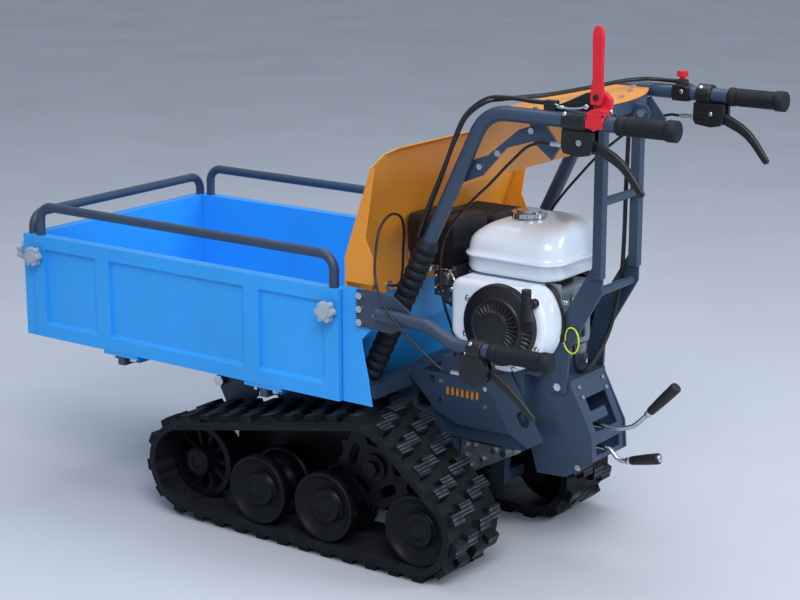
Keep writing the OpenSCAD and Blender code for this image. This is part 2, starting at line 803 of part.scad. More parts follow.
module brake_housing() {
    difference() {
        union() {
            x_rod(handle_y, handle_z, -640, -600, tube_r + 8);
            box([-664, handle_y - 17, lever_z - 22], [-594, handle_y + 17, lever_z + 20]);
        }
        x_rod(handle_y, handle_z, -641, -599, tube_r);
        box([-670, handle_y - lever_t / 2 - 0.6, lever_z - 30],
            [-622, handle_y + lever_t / 2 + 0.6, lever_z + 16]);
        for (k = [0 : 3]) both_fins(k);
    }
    y_rod(lever_x, lever_z, handle_y - 17, handle_y + 17, lever_pin);
}

module both_fins(k) {
    for (s = [-1, 1]) translate([-619 + 6 * k, handle_y + s * 17, lever_z - 2])
        cube([3, 5, 30], center = true);
}

module clutch_bracket() {
    difference() {
        union() {
            x_rod(handle_y, handle_z, clutch_x - 25, clutch_x + 19, tube_r + 6);
            for (y = [handle_y - 9, handle_y + 5.6]) xz_plate(y, y + 3.4)
                polygon([[clutch_x - 25, handle_z], [clutch_x + 19, handle_z],
                    [clutch_x + 13, clutch_z + 10], [clutch_x - 13, clutch_z + 10]]);
        }
        x_rod(handle_y, handle_z, clutch_x - 26, clutch_x + 20, tube_r);
    }
    y_rod(clutch_x, clutch_z, handle_y - 9, handle_y + 9, 5);
}

// the clamp that ends the clutch cable's sheath
module cable_bracket() {
    difference() {
        union() {
            x_rod(handle_y, handle_z, clamp_x0, clamp_x1, tube_r + 5);
            box([clamp_x0, handle_y - 14, handle_z + 12], [clamp_x1, handle_y + 2, handle_z + 36]);
        }
        x_rod(handle_y, handle_z, clamp_x0 - 1, clamp_x1 + 1, tube_r);
    }
}

// the clamp that holds the stop button
module kill_housing() {
    difference() {
        union() {
            x_rod(-handle_y, handle_z, kill_x0, kill_x1, tube_r + 5);
            box([kill_x0, -handle_y - 13, handle_z + 10], [kill_x1, -handle_y + 13, handle_z + 28]);
        }
        x_rod(-handle_y, handle_z, kill_x0 - 1, kill_x1 + 1, tube_r);
        translate([kill_x, -handle_y, handle_z + 18]) cylinder(h = 20, r = 6 + run_fit);
    }
}

module control_housings() {
    color(black) {
        brake_housing();
        right_brake() brake_housing();
        clutch_bracket();
        cable_bracket();
        kill_housing();
    }
}

module brake_lever() {
    color(black) translate([lever_x, 0, lever_z]) difference() {
        xz_plate(handle_y - lever_t / 2, handle_y + lever_t / 2) polygon(lever_pts);
        y_rod(0, 0, handle_y - 30, handle_y + 30, lever_pin + run_fit);
    }
}

module brake_lever_left() {
    brake_lever();
}

module brake_lever_right() {
    right_brake() brake_lever();
}

module clutch_lever() {
    color(red) difference() {
        xz_plate(handle_y - 5, handle_y + 5) {
            translate([clutch_x, clutch_z]) circle(16);
            polygon([[clutch_x - 15, clutch_z], [clutch_x + 13, clutch_z], [clutch_x + 8, clutch_z + 34],
                [clutch_x + 11, clutch_z + 118], [clutch_x + 2, clutch_z + 134],
                [clutch_x - 10, clutch_z + 130],
                [clutch_x - 12, clutch_z + 34]]);
        }
        y_rod(clutch_x, clutch_z, handle_y - 8, handle_y + 8, 5 + run_fit);
    }
}

module kill_button() {
    color(red) translate([kill_x, -handle_y, handle_z + 22]) {
        cylinder(h = 12, r = 6);
        translate([0, 0, 11]) cylinder(h = 12, r = 12);
    }
}

// a gear lever: boss, bent rod and moulded grip
module gear_lever(z, rod, grip, tilt) {
    color(zinc) {
        bent_tube_xz(gear_y, rod, 16, 5, 5);
        translate([gear_x, gear_y, z - 9]) difference() {
            cylinder(h = 18, r = 10);
            translate([0, 0, -1]) cylinder(h = 20, r = gear_pin + run_fit);
        }
    }
    color(black) translate([grip[0], gear_y, grip[1]]) rotate([0, tilt, 0])
        cylinder(h = 80, r1 = 9, r2 = 12);
}

module gear_lever_speed() {
    gear_lever(316, speed_rod, speed_grip, -48);
}

module gear_lever_reverse() {
    gear_lever(268, reverse_rod, reverse_grip, -76);
}

// Engine

module rounded_2d(lo, hi, r) {
    translate([lo[0] + r, lo[1]]) square([hi[0] - lo[0] - 2 * r, hi[1] - lo[1]]);
    translate([lo[0], lo[1] + r]) square([hi[0] - lo[0], hi[1] - lo[1] - 2 * r]);
    for (x = [lo[0] + r, hi[0] - r]) for (y = [lo[1] + r, hi[1] - r]) translate([x, y]) circle(r);
}

module engine_block() {
    color(alloy) {
        box([-470, -90, deck_z], [-345, 70, deck_z + 22]);
        xz_plate(block_y[0], block_y[1]) rounded_2d([-472, deck_z + 20], [-340, block_top], 14);
        y_rod(crank_x, crank_z, -110, -99, 40);
        xz_plate(fan_y[0] - 2, fan_y[0]) fan_outline(0);
        translate([-345, -10, 530]) rotate([0, -25, 0]) {
            box([-6, -44, -38], [80, 44, 38]);
            for (k = [0 : 6]) box([8 + 10 * k, -56, -50], [12 + 10 * k, 56, 50]);
            box([78, -52, -48], [104, 52, 48]);
            box([103, -40, -40], [120, 40, 40]);
        }
        box([-262, 40, 556], [-206, 98, 625]);
        y_rod(-232, 600, 97, 104, 16);
        box([-262, -60, 580], [-236, -34, 625]);
        for (x = [-452, -356]) box([x, -60, block_top - 1], [x + 16, 62, tank_z]);
    }
}

// one level of the tank's hollow, set in from the outside
module tank_hollow(z0, z1, inset, r) {
    translate([0, 0, z0]) linear_extrude(z1 - z0)
        rounded_2d([tank_x[0] + inset, tank_y[0] + inset], [tank_x[1] - inset, tank_y[1] - inset], r);
}

module fuel_tank() {
    crown = tank_top - 3;
    color(white) difference() {
        union() {
            tank_hollow(tank_z, seam_z, 0, 40);
            tank_hollow(seam_z - 4, seam_z + 2, -6, 46);
            intersection() {
                tank_hollow(seam_z - 1, tank_top, 0, 40);
                xz_plate(tank_y[0] - 1, tank_y[1] + 1) polygon([[tank_x[0], seam_z - 1],
                    [tank_x[1], seam_z - 1], [tank_x[1] - 4, shoulder_z], [tank_x[1] - 40, brow_z],
                    [tank_x[1] - 90, crown], [tank_x[0] + 24, crown], [tank_x[0] + 10, brow_z],
                    [tank_x[0] + 2, shoulder_z]]);
                yz_plate(tank_x[0] - 1, tank_x[1] + 1) polygon([[tank_y[0], seam_z - 1],
                    [tank_y[1], seam_z - 1], [tank_y[1] - 3, shoulder_z], [tank_y[1] - 30, brow_z],
                    [tank_y[1] - 70, crown], [tank_y[0] + 24, crown], [tank_y[0] + 10, brow_z],
                    [tank_y[0] + 2, shoulder_z]]);
            }
            translate([cap_x, cap_y, tank_top - 10]) cylinder(h = 8, r = 24);
        }
        tank_hollow(tank_z + 2.5, shoulder_z, 6, 34);
        tank_hollow(shoulder_z - 1, brow_z - 6, 36, 10);
        tank_hollow(brow_z - 7, crown - 4, 76, 8);
        translate([cap_x, cap_y, brow_z - 2]) cylinder(h = 30, r = 20);
    }
}

module fuel_cap() {
    color(zinc) translate([cap_x, cap_y, tank_top - 2 + 0.3]) {
        cylinder(h = 10, r = cap_r);
        translate([0, 0, 9]) cylinder(h = 5, r = cap_r - 10);
        for (k = [0 : 11]) rotate(30 * k) translate([cap_r - 2, 0, 0]) cylinder(h = 9, r = 4, $fn = 24);
    }
}

// outline of the fan cover, drawn smaller by a wall
module fan_outline(wall) {
    intersection() {
        union() {
            translate([crank_x, crank_z]) circle(fan_r - wall, $fn = 96);
            rounded_2d([-506 + wall, crank_z], [-280 - wall, fan_top + 20], 22 - wall);
        }
        translate([-600, 0]) square([400, fan_top - wall]);
    }
}

module fan_cover() {
    color(white) difference() {
        xz_plate(fan_y[0], fan_y[1]) fan_outline(0);
        xz_plate(fan_y[0] - 1, fan_y[1] - 3) fan_outline(3);
    }
}

module recoil_starter() {
    color(black) difference() {
        union() {
            translate([crank_x, fan_y[1], crank_z]) rotate([-90, 0, 0]) rotate_extrude($fn = 96)
                polygon([[0, 0], [recoil_r, 0], [recoil_r, 10], [recoil_r - 10, 20], [recoil_r - 30, 25],
                    [0, 27]]);
            translate([grip_pull[0], fan_y[1], grip_pull[2]]) rotate([-90, 0, 0]) cylinder(h = 14, r = 15);
        }
        translate([crank_x, fan_y[1], crank_z]) rotate([-90, 0, 0]) for (k = [0 : 23]) if (k % 6 != 5)
            rotate(15 * k) translate([recoil_r - 50, -2.2, 12]) cube([40, 4.4, 30]);
    }
}

module starter_grip() {
    color(black) {
        translate([grip_pull[0], fan_y[1] + 14.4, grip_pull[2]]) rotate([-90, 0, 0])
            cylinder(h = 12, r = 6);
        translate([grip_pull[0], fan_y[1] + 32, grip_pull[2] - 30]) cylinder(h = 64, r = 10);
    }
}

module air_cleaner() {
    color(black) {
        yz_plate(-264, -148) rounded_2d([-14, 640], [113, 726], 16);
        xz_plate(-14, 113) rounded_2d([-262, 625], [-154, 650], 8);
        yz_plate(-222, -214) rounded_2d([-18, 636], [117, 730], 18);
        y_rod(-206, 690, 112, 122, 11);
    }
}

module muffler() {
    color(black) difference() {
        union() {
            yz_plate(-268, -150) rounded_2d([-158, 628], [-34, 712], 14);
            box([-262, -60, 625], [-236, -36, 630]);
        }
        yz_plate(-266, -152) rounded_2d([-156, 630.5], [-36, 710], 12);
        for (k = [0 : 6]) box([-258 + 15 * k, -150, 706], [-251 + 15 * k, -44, 714]);
    }
}

// Cables and small hardware of the chassis

module control_cables() {
    color(rubber) {
        cable(clutch_route, thick_cable, 4, 8);
        cable(wire_route, thick_cable, 4, 8);
        cable(left_route, thin_cable, 4, 8);
        cable(right_route, thin_cable, 4, 8);
        cable(post_route, thick_cable, 4, 8);
        translate([leg_foot[0], handle_y, leg_foot[1]]) rotate([0, leg_tilt, 0]) rotate_extrude()
            conduit_half();
    }
    color("#b8d430") cable(lanyard_pts, lanyard_r, 3, 8);
}

// half section of the ribbed sleeve on the left leg
module conduit_half() {
    translate([tube_r, 6]) square([6, 344]);
    for (k = [0 : 16]) translate([tube_r, 12 + 20 * k]) square([8.5, 12]);
}

module chassis_fasteners() {
    color(zinc) {
        for (p = cover_rivets) translate([p[0], cover_y + cover_t, p[1]]) rotate([-90, 0, 0])
            cylinder(h = 3, r = 5);
        for (p = gusset_bolts) both_sides() translate([p[0], gusset_y + gusset_t, p[1]])
            rotate([-90, 0, 0]) hex_head(7, 5);
        both_sides() {
            translate([-504, box_y + 6, 400]) rotate([-90, 0, 0]) hex_head(9, 7);
            translate([-552, box_y, 232]) rotate([-90, 0, 0]) hex_head(7, 5);
            translate([pivot_x, rail_y1 + 13, pivot_z]) rotate([-90, 0, 0]) hex_head(14, 8);
            translate([tab_bolt[0], post_y - post_w / 2 - 4, tab_bolt[1]]) rotate([90, 0, 0]) hex_head(9, 6);
        }
        for (p = console_bolts) both_sides() translate([p[0], p[1], console_z + 2.5]) hex_head(6.5, 5);
        brake_hardware();
        right_brake() brake_hardware();
        for (p = gearbox_bolts)
            translate([p[0], 98, p[1]]) rotate([-90, 0, 0]) hex_head(7, 6);
        translate([gearbox_plug[0], 98, gearbox_plug[1]]) rotate([-90, 0, 0]) hex_head(9.5, 9);
        for (y = [-48, 48]) for (s = [0.24, 0.41]) gate_bolt(y, s);
    }
}

// pivot cap and cable adjuster of a brake lever
module brake_hardware() {
    y_rod(lever_x, lever_z, handle_y + 17, handle_y + 20, 6);
    x_rod(handle_y, 933, -594, -568, 5);
}

// a bolt head on the sloping upper part of the gate plate
module gate_bolt(y, s) {
    translate([-520 - 57 * s, y, 424 - 118 * s]) rotate([0, -atan2(118, 57), 0]) hex_head(5, 4);
}

// Bed

module side_sleeve_x(x) {
    box([x - bar_w / 2 - sleeve_t, side_sleeve_in, under_z],
        [x + bar_w / 2 + sleeve_t, side_sleeve_out, under_top]);
}

module bed_tub() {
    color(blue) {
        box([wall_foot_x, -floor_y, floor_z], [panel_x1, floor_y, floor_z + floor_t]);
        xz_plate(-floor_y, floor_y) polygon([[wall_x, wall_top], [wall_x, wall_knee_z],
            [wall_foot_x, floor_z + floor_t],
            [wall_foot_x, floor_z], [wall_foot_x - 3.2, floor_z], [wall_x - wall_t, wall_knee_z - 0.5],
            [wall_x - wall_t, wall_top]]);
        both_sides() {
            box([wall_x - wall_t, floor_y - 1, bed_z], [wall_x, ear_y1, wall_top]);
            xz_plate(ear_y1 - ear_t, ear_y1) polygon(ear_pts);
        }
        for (x = [[-72, -40], [250, 300], [540, 590]]) box([x[0], -104, under_top - 1],
            [x[1], 104, floor_z + 0.5]);
        difference() {
            union() {
                both_sides() {
                    box([-70, under_y0, under_z], [600, under_y1, under_top]);
                    for (x = side_bar_x) side_sleeve_x(x);
                    box([front_sleeve[0], front_bar_y - bar_w / 2 - sleeve_t, under_z],
                        [front_sleeve[1], front_bar_y + bar_w / 2 + sleeve_t, under_top]);
                    xz_plate(90, 99) {
                        translate([pivot_x, pivot_z]) circle(24);
                        polygon([[pivot_x - 46, under_z + 6], [pivot_x + 46, under_z + 6],
                            [pivot_x + 22, pivot_z + 8],
                            [pivot_x - 22, pivot_z + 8]]);
                    }
                }
                box([552, -front_bar_y, under_z], [590, front_bar_y, under_top]);
            }
            both_sides() {
                for (x = side_bar_x) box([x - bar_w / 2 - 0.5, side_sleeve_in - 1, bar_z - 0.5],
                    [x + bar_w / 2 + 0.5, side_sleeve_out + 1, bar_z + bar_w + 0.5]);
                box([front_sleeve[0] - 1, front_bar_y - bar_w / 2 - 0.5, bar_z - 0.5],
                    [front_sleeve[1] + 1, front_bar_y + bar_w / 2 + 0.5, bar_z + bar_w + 0.5]);
                y_rod(pivot_x, pivot_z, 80, 110, pivot_r + run_fit);
            }
        }
    }
}

module engine_shield() {
    color(yellow) {
        intersection() {
            xz_plate(-shield_y, shield_y) polygon(concat(shield_front, shield_back));
            yz_plate(-230, -110) polygon(shield_edge);
        }
        both_sides() xz_plate(shield_y - shield_t, shield_y) polygon(shield_flange);
    }
}

module tip_handle() {
    color(slate) {
        xz_plate(ear_y1, ear_y1 + tip_plate_t) polygon(tip_plate);
        bent_tube_xz(tip_y, tip_path, tip_bend, tip_r, 2.5);
    }
}

module tip_grip() {
    color(rubber) difference() {
        union() {
            x_rod(tip_y, tip_z, tip_grip[0], tip_grip[1], tip_grip_r - 1);
            x_rod(tip_y, tip_z, tip_grip[0], tip_grip[0] + 10, tip_grip_r);
            x_rod(tip_y, tip_z, tip_grip[1] - 10, tip_grip[1], tip_grip_r);
        }
        x_rod(tip_y, tip_z, tip_path[3][0], tip_grip[1] + 1, tip_r);
    }
}

module tip_housing() {
    color(black) {
        difference() {
            union() {
                x_rod(tip_y, tip_z, -486, -440, tip_r + 5);
                box([-490, tip_y - 17, 456], [-428, tip_y + 17, 516]);
            }
            x_rod(tip_y, tip_z, -491, -427, tip_r);
            box([-496, tip_y - 5.6, 450], [-464, tip_y + 5.6, 502]);
        }
        y_rod(tip_pivot[0], tip_pivot[1], tip_y - 17, tip_y + 17, 4);
    }
}

module tip_lever() {
    color(black) translate([tip_pivot[0], 0, tip_pivot[1]]) difference() {
        xz_plate(tip_y - 5, tip_y + 5) polygon(tip_lever_pts);
        y_rod(0, 0, tip_y - 20, tip_y + 20, 4 + run_fit);
    }
}

module tip_cable() {
    color(rubber) cable(tip_route, tip_cable_r, 4, 8);
}

module bed_fasteners() {
    color(zinc) {
        for (p = tip_bolts) translate([p[0], ear_y1 + tip_plate_t, p[1]]) rotate([-90, 0, 0])
            hex_head(8, 6);
        for (y = [-200, 0, 200]) translate([-121.5, y, 582]) rotate([0, -90, 0]) hex_head(6, 5);
        x_rod(tip_y, 471, -428, -402, 5);
        translate([-127.5, 150, 575]) rotate([0, 90, 0]) cylinder(h = 6, r = 10);
    }
}

// Panels, drawn with length along X from 0, thickness along Y outwards from 0 and height along Z from 0

module section_full() {
    difference() {
        square([panel_t, bed_h]);
        translate([sheet_t, -1]) square([panel_t - 2 * sheet_t, bed_h - sheet_t + 1]);
    }
}

module section_field() {
    low = field_low;
    high = bed_h - field_high;
    s = field_slope;
    d = panel_t - recess_d;
    difference() {
        polygon([[0, 0], [panel_t, 0], [panel_t, low - s], [d, low], [d, high], [panel_t, high + s],
            [panel_t, bed_h],
            [0, bed_h]]);
        polygon([[sheet_t, -1], [panel_t - sheet_t, -1], [panel_t - sheet_t, low - s - 0.8],
            [d - sheet_t, low - 0.8], [d - sheet_t, high + 0.8], [panel_t - sheet_t, high + s + 0.8],
            [panel_t - sheet_t, bed_h - sheet_t], [sheet_t, bed_h - sheet_t]]);
    }
}

module panel_body(ribs, posts) {
    post_bore = rail_r + slide_fit;
    stud_z = bed_h - knob_drop;
    difference() {
        union() {
            for (s = ribs) {
                yz_plate(s[0], s[1]) section_full();
                for (x = [s[0], s[1] - 2]) box([x, 0, 0], [x + 2, panel_t, bed_h]);
            }
            for (i = [0 : len(ribs) - 2]) yz_plate(ribs[i][1] - 1, ribs[i + 1][0] + 1) section_field();
            for (x = posts) box([x - 12.5, 1, bed_h - post_depth - 12], [x + 12.5, panel_t - 1, bed_h - 1]);
        }
        for (x = posts) {
            translate([x, panel_t / 2, bed_h - post_depth - 1]) cylinder(h = post_depth + 5, r = post_bore);
            y_rod(x, stud_z, panel_t / 2, panel_t + 1, stud_r + run_fit);
        }
    }
}

// the foot, slide bar and clamp bolts under a panel, around X = 0 and below Z = 0, reaching inwards along -Y
module slide_foot(reach) {
    box([-foot_len / 2, 0, -foot_t], [foot_len / 2, panel_t - 2, 0.5]);
    box([-bar_w / 2, -reach, bar_z - bed_z], [bar_w / 2, panel_t - 4, bar_z - bed_z + bar_w]);
    for (s = [-1, 1]) translate([s * clamp_bolt_off, 12, -foot_t - 9]) cylinder(h = 10, r = 8, $fn = 6);
}

module panel_side() {
    color(blue) {
        translate([panel_x0, side_in, bed_z]) panel_body(side_ribs, side_posts);
        for (x = side_bar_x) translate([x, side_in, bed_z]) slide_foot(side_in - side_bar_in);
        box([wall_foot_x + 5, leaf_in, bed_z - 0.5 - leaf_t],
            [panel_x1 - 19, side_in - foot_gap, bed_z - 0.5]);
    }
}

module panel_left() {
    panel_side();
}

module panel_right() {
    mirror([0, 1, 0]) panel_side();
}

module panel_front() {
    x0 = bed_front - panel_t;
    color(blue) {
        translate([x0, bed_w / 2, bed_z]) rotate([0, 0, -90]) panel_body(front_ribs, front_posts);
        for (y = [-front_bar_y, front_bar_y]) translate([x0, y, bed_z]) rotate([0, 0, -90])
            slide_foot(x0 - front_bar_in);
        box([front_leaf_in, -floor_y, bed_z], [x0 - foot_gap, floor_y, bed_z + leaf_t]);
    }
}

module rail_2d(a, b, top, bottom) {
    bent_tube([[a, bottom], [a, top], [b, top], [b, bottom]], rail_bend, rail_r, 2);
}

rail_foot = panel_top - post_depth + 1;

module rail_side() {
    color(slate) translate([0, side_in + panel_t / 2, 0]) rotate([90, 0, 0])
        rail_2d(panel_x0 + side_posts[0], panel_x0 + side_posts[1], panel_top + rail_up, rail_foot);
}

module rail_left() {
    rail_side();
}

module rail_right() {
    mirror([0, 1, 0]) rail_side();
}

module rail_front() {
    color(slate) translate([bed_front - panel_t / 2, 0, 0]) rotate([90, 0, 90])
        rail_2d(front_posts[0] - bed_w / 2, bed_w / 2 - front_posts[0], panel_top + front_rail_up, rail_foot);
}

// a star knob with its stud, axis along Z, the panel face at Z = 0
module star_knob() {
    color("#6c7076") {
        translate([0, 0, 9]) linear_extrude(knob_h - 12) {
            circle(knob_r - 6);
            for (k = [0 : 5]) rotate(60 * k) translate([knob_r - 7, 0]) circle(7, $fn = 32);
        }
        translate([0, 0, knob_h - 4]) cylinder(h = 4, r = knob_r - 9);
        translate([0, 0, 0.3]) cylinder(h = 9, r = 11);
        translate([0, 0, 0.5 + rail_r - panel_t / 2]) cylinder(h = panel_t / 2 - rail_r, r = stud_r);
    }
}

knob_z = panel_top - knob_drop;

module side_knob(k) {
    translate([panel_x0 + side_posts[k], side_y, knob_z]) rotate([-90, 0, 0]) star_knob();
}

module front_knob(s) {
    translate([bed_front, s * (bed_w / 2 - front_posts[0]), knob_z]) rotate([0, 90, 0]) star_knob();
}

module knob_left_rear() {
    side_knob(0);
}

module knob_left_front() {
    side_knob(1);
}

module knob_right_rear() {
    mirror([0, 1, 0]) side_knob(0);
}

module knob_right_front() {
    mirror([0, 1, 0]) side_knob(1);
}

module knob_front_left() {
    front_knob(1);
}

module knob_front_right() {
    front_knob(-1);
}

chassis_frame();
rear_box();
side_cover();
gate_plate();
gearbox();
belt_guard();
track_frames();
track_left();
track_right();
sprocket_left();
sprocket_right();
idler_left();
idler_right();
roller_left_1();
roller_left_2();
roller_left_3();
roller_right_1();
roller_right_2();
roller_right_3();
handlebar();
console_frame();
console();
handle_grips();
control_housings();
brake_lever_left();
brake_lever_right();
clutch_lever();
kill_button();
gear_lever_speed();
gear_lever_reverse();
engine_block();
fuel_tank();
fuel_cap();
fan_cover();
recoil_starter();
starter_grip();
air_cleaner();
muffler();
control_cables();
chassis_fasteners();
bed_tub();
engine_shield();
tip_handle();
tip_grip();
tip_housing();
tip_lever();
tip_cable();
bed_fasteners();
panel_left();
panel_right();
panel_front();
rail_left();
rail_right();
rail_front();
knob_left_rear();
knob_left_front();
knob_right_rear();
knob_right_front();
knob_front_left();
knob_front_right();
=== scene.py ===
"""Dressed scene of a tracked power carrier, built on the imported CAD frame.

Every piece is in metres in the frame of the CAD model: +X to the bed, +Y to the left, +Z up, ground at zero.
Sizes written in this file are millimetres unless they say otherwise.
"""

import json
import logging
import math
from dataclasses import dataclass, field
from enum import Enum
from typing import Any, Callable, Sequence

import bmesh
import bpy
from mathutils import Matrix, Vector
from mathutils.geometry import convex_hull_2d

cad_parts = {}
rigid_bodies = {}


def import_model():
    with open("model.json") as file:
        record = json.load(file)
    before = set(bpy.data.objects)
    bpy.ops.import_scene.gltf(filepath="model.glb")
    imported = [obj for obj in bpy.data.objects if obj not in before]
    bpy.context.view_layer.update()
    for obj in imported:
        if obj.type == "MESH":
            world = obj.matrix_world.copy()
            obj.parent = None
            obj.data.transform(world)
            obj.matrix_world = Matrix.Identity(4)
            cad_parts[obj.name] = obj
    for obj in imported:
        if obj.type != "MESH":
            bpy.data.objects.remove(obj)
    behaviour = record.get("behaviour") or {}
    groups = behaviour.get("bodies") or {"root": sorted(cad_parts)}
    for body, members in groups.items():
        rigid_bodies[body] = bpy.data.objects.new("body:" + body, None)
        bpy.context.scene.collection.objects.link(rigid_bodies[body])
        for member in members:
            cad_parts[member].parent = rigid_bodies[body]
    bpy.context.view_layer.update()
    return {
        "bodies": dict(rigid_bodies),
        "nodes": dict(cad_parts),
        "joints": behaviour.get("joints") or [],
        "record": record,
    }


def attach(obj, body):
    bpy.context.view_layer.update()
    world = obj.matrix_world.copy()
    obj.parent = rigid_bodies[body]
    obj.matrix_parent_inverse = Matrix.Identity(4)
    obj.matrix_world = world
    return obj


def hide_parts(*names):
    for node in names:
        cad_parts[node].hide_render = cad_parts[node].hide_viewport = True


LOG = logging.getLogger("carrier")
MM = 0.001
PER_METRE = 1000
FAR = 5000.0
X_AXIS = Vector((1, 0, 0))
Y_AXIS = Vector((0, 1, 0))
Z_AXIS = Vector((0, 0, 1))
Point = tuple[float, float, float]
Pair = tuple[float, float]
Profile = Sequence[Pair]
Shape = bmesh.types.BMesh
Socket = bpy.types.NodeSocket
Tree = bpy.types.NodeTree


def mm(*values: float) -> Vector:
    """A point or size given in millimetres, in metres."""
    return Vector([v * MM for v in values])


def turns(count: int) -> list[float]:
    """Even angles once round, in radians."""
    return [2 * math.pi * k / count for k in range(count)]


def polar(centre: Pair, radius: float, angle: float) -> Pair:
    """The point at a distance and an angle in radians from a centre."""
    return centre[0] + radius * math.cos(angle), centre[1] + radius * math.sin(angle)


def linear(code: str) -> tuple[float, float, float, float]:
    """Turn an sRGB hex colour into the linear values that shaders use.

    Args:
        code: The colour as "#rrggbb".

    Returns:
        Linear red, green and blue, and a full alpha.
    """
    parts = [int(code[i : i + 2], 16) / 255 for i in (1, 3, 5)]
    red, green, blue = (p / 12.92 if p <= 0.04045 else ((p + 0.055) / 1.055) ** 2.4 for p in parts)
    return red, green, blue, 1.0


def add(tree: Tree, kind: str, inputs: dict[str | int, Any] | None = None, **props: Any) -> bpy.types.Node:
    """Add one shader node, set its properties and fill its inputs.

    Args:
        tree: The material's node tree.
        kind: The node's Blender type name.
        inputs: Values or output sockets, by input name or number.
        **props: Properties set on the node itself.

    Returns:
        The new node.
    """
    node = tree.nodes.new(kind)
    for name, value in props.items():
        setattr(node, name, value)
    for name, value in (inputs or {}).items():
        if isinstance(value, Socket):
            tree.links.new(value, node.inputs[name])
        else:
            node.inputs[name].default_value = value
    return node


class Coat(Enum):
    """Mean roughness that a process leaves on a painted, plated or moulded surface."""

    MATT = 0.62
    SATIN = 0.42
    GLOSS = 0.2


class Slot(Enum):
    """Material slots of the frame that the pieces made here belong to."""

    WHITE_PAINT = "white_paint"
    BLACK_STEEL = "black_steel"
    SOFT_RUBBER = "soft_rubber"
    CAST_ALLOY = "cast_alloy"
    ZINC_STEEL = "zinc_steel"
    BRIGHT_CHROME = "bright_chrome"
    BLACK_PLASTIC = "black_plastic"
    RED_PLASTIC = "red_plastic"


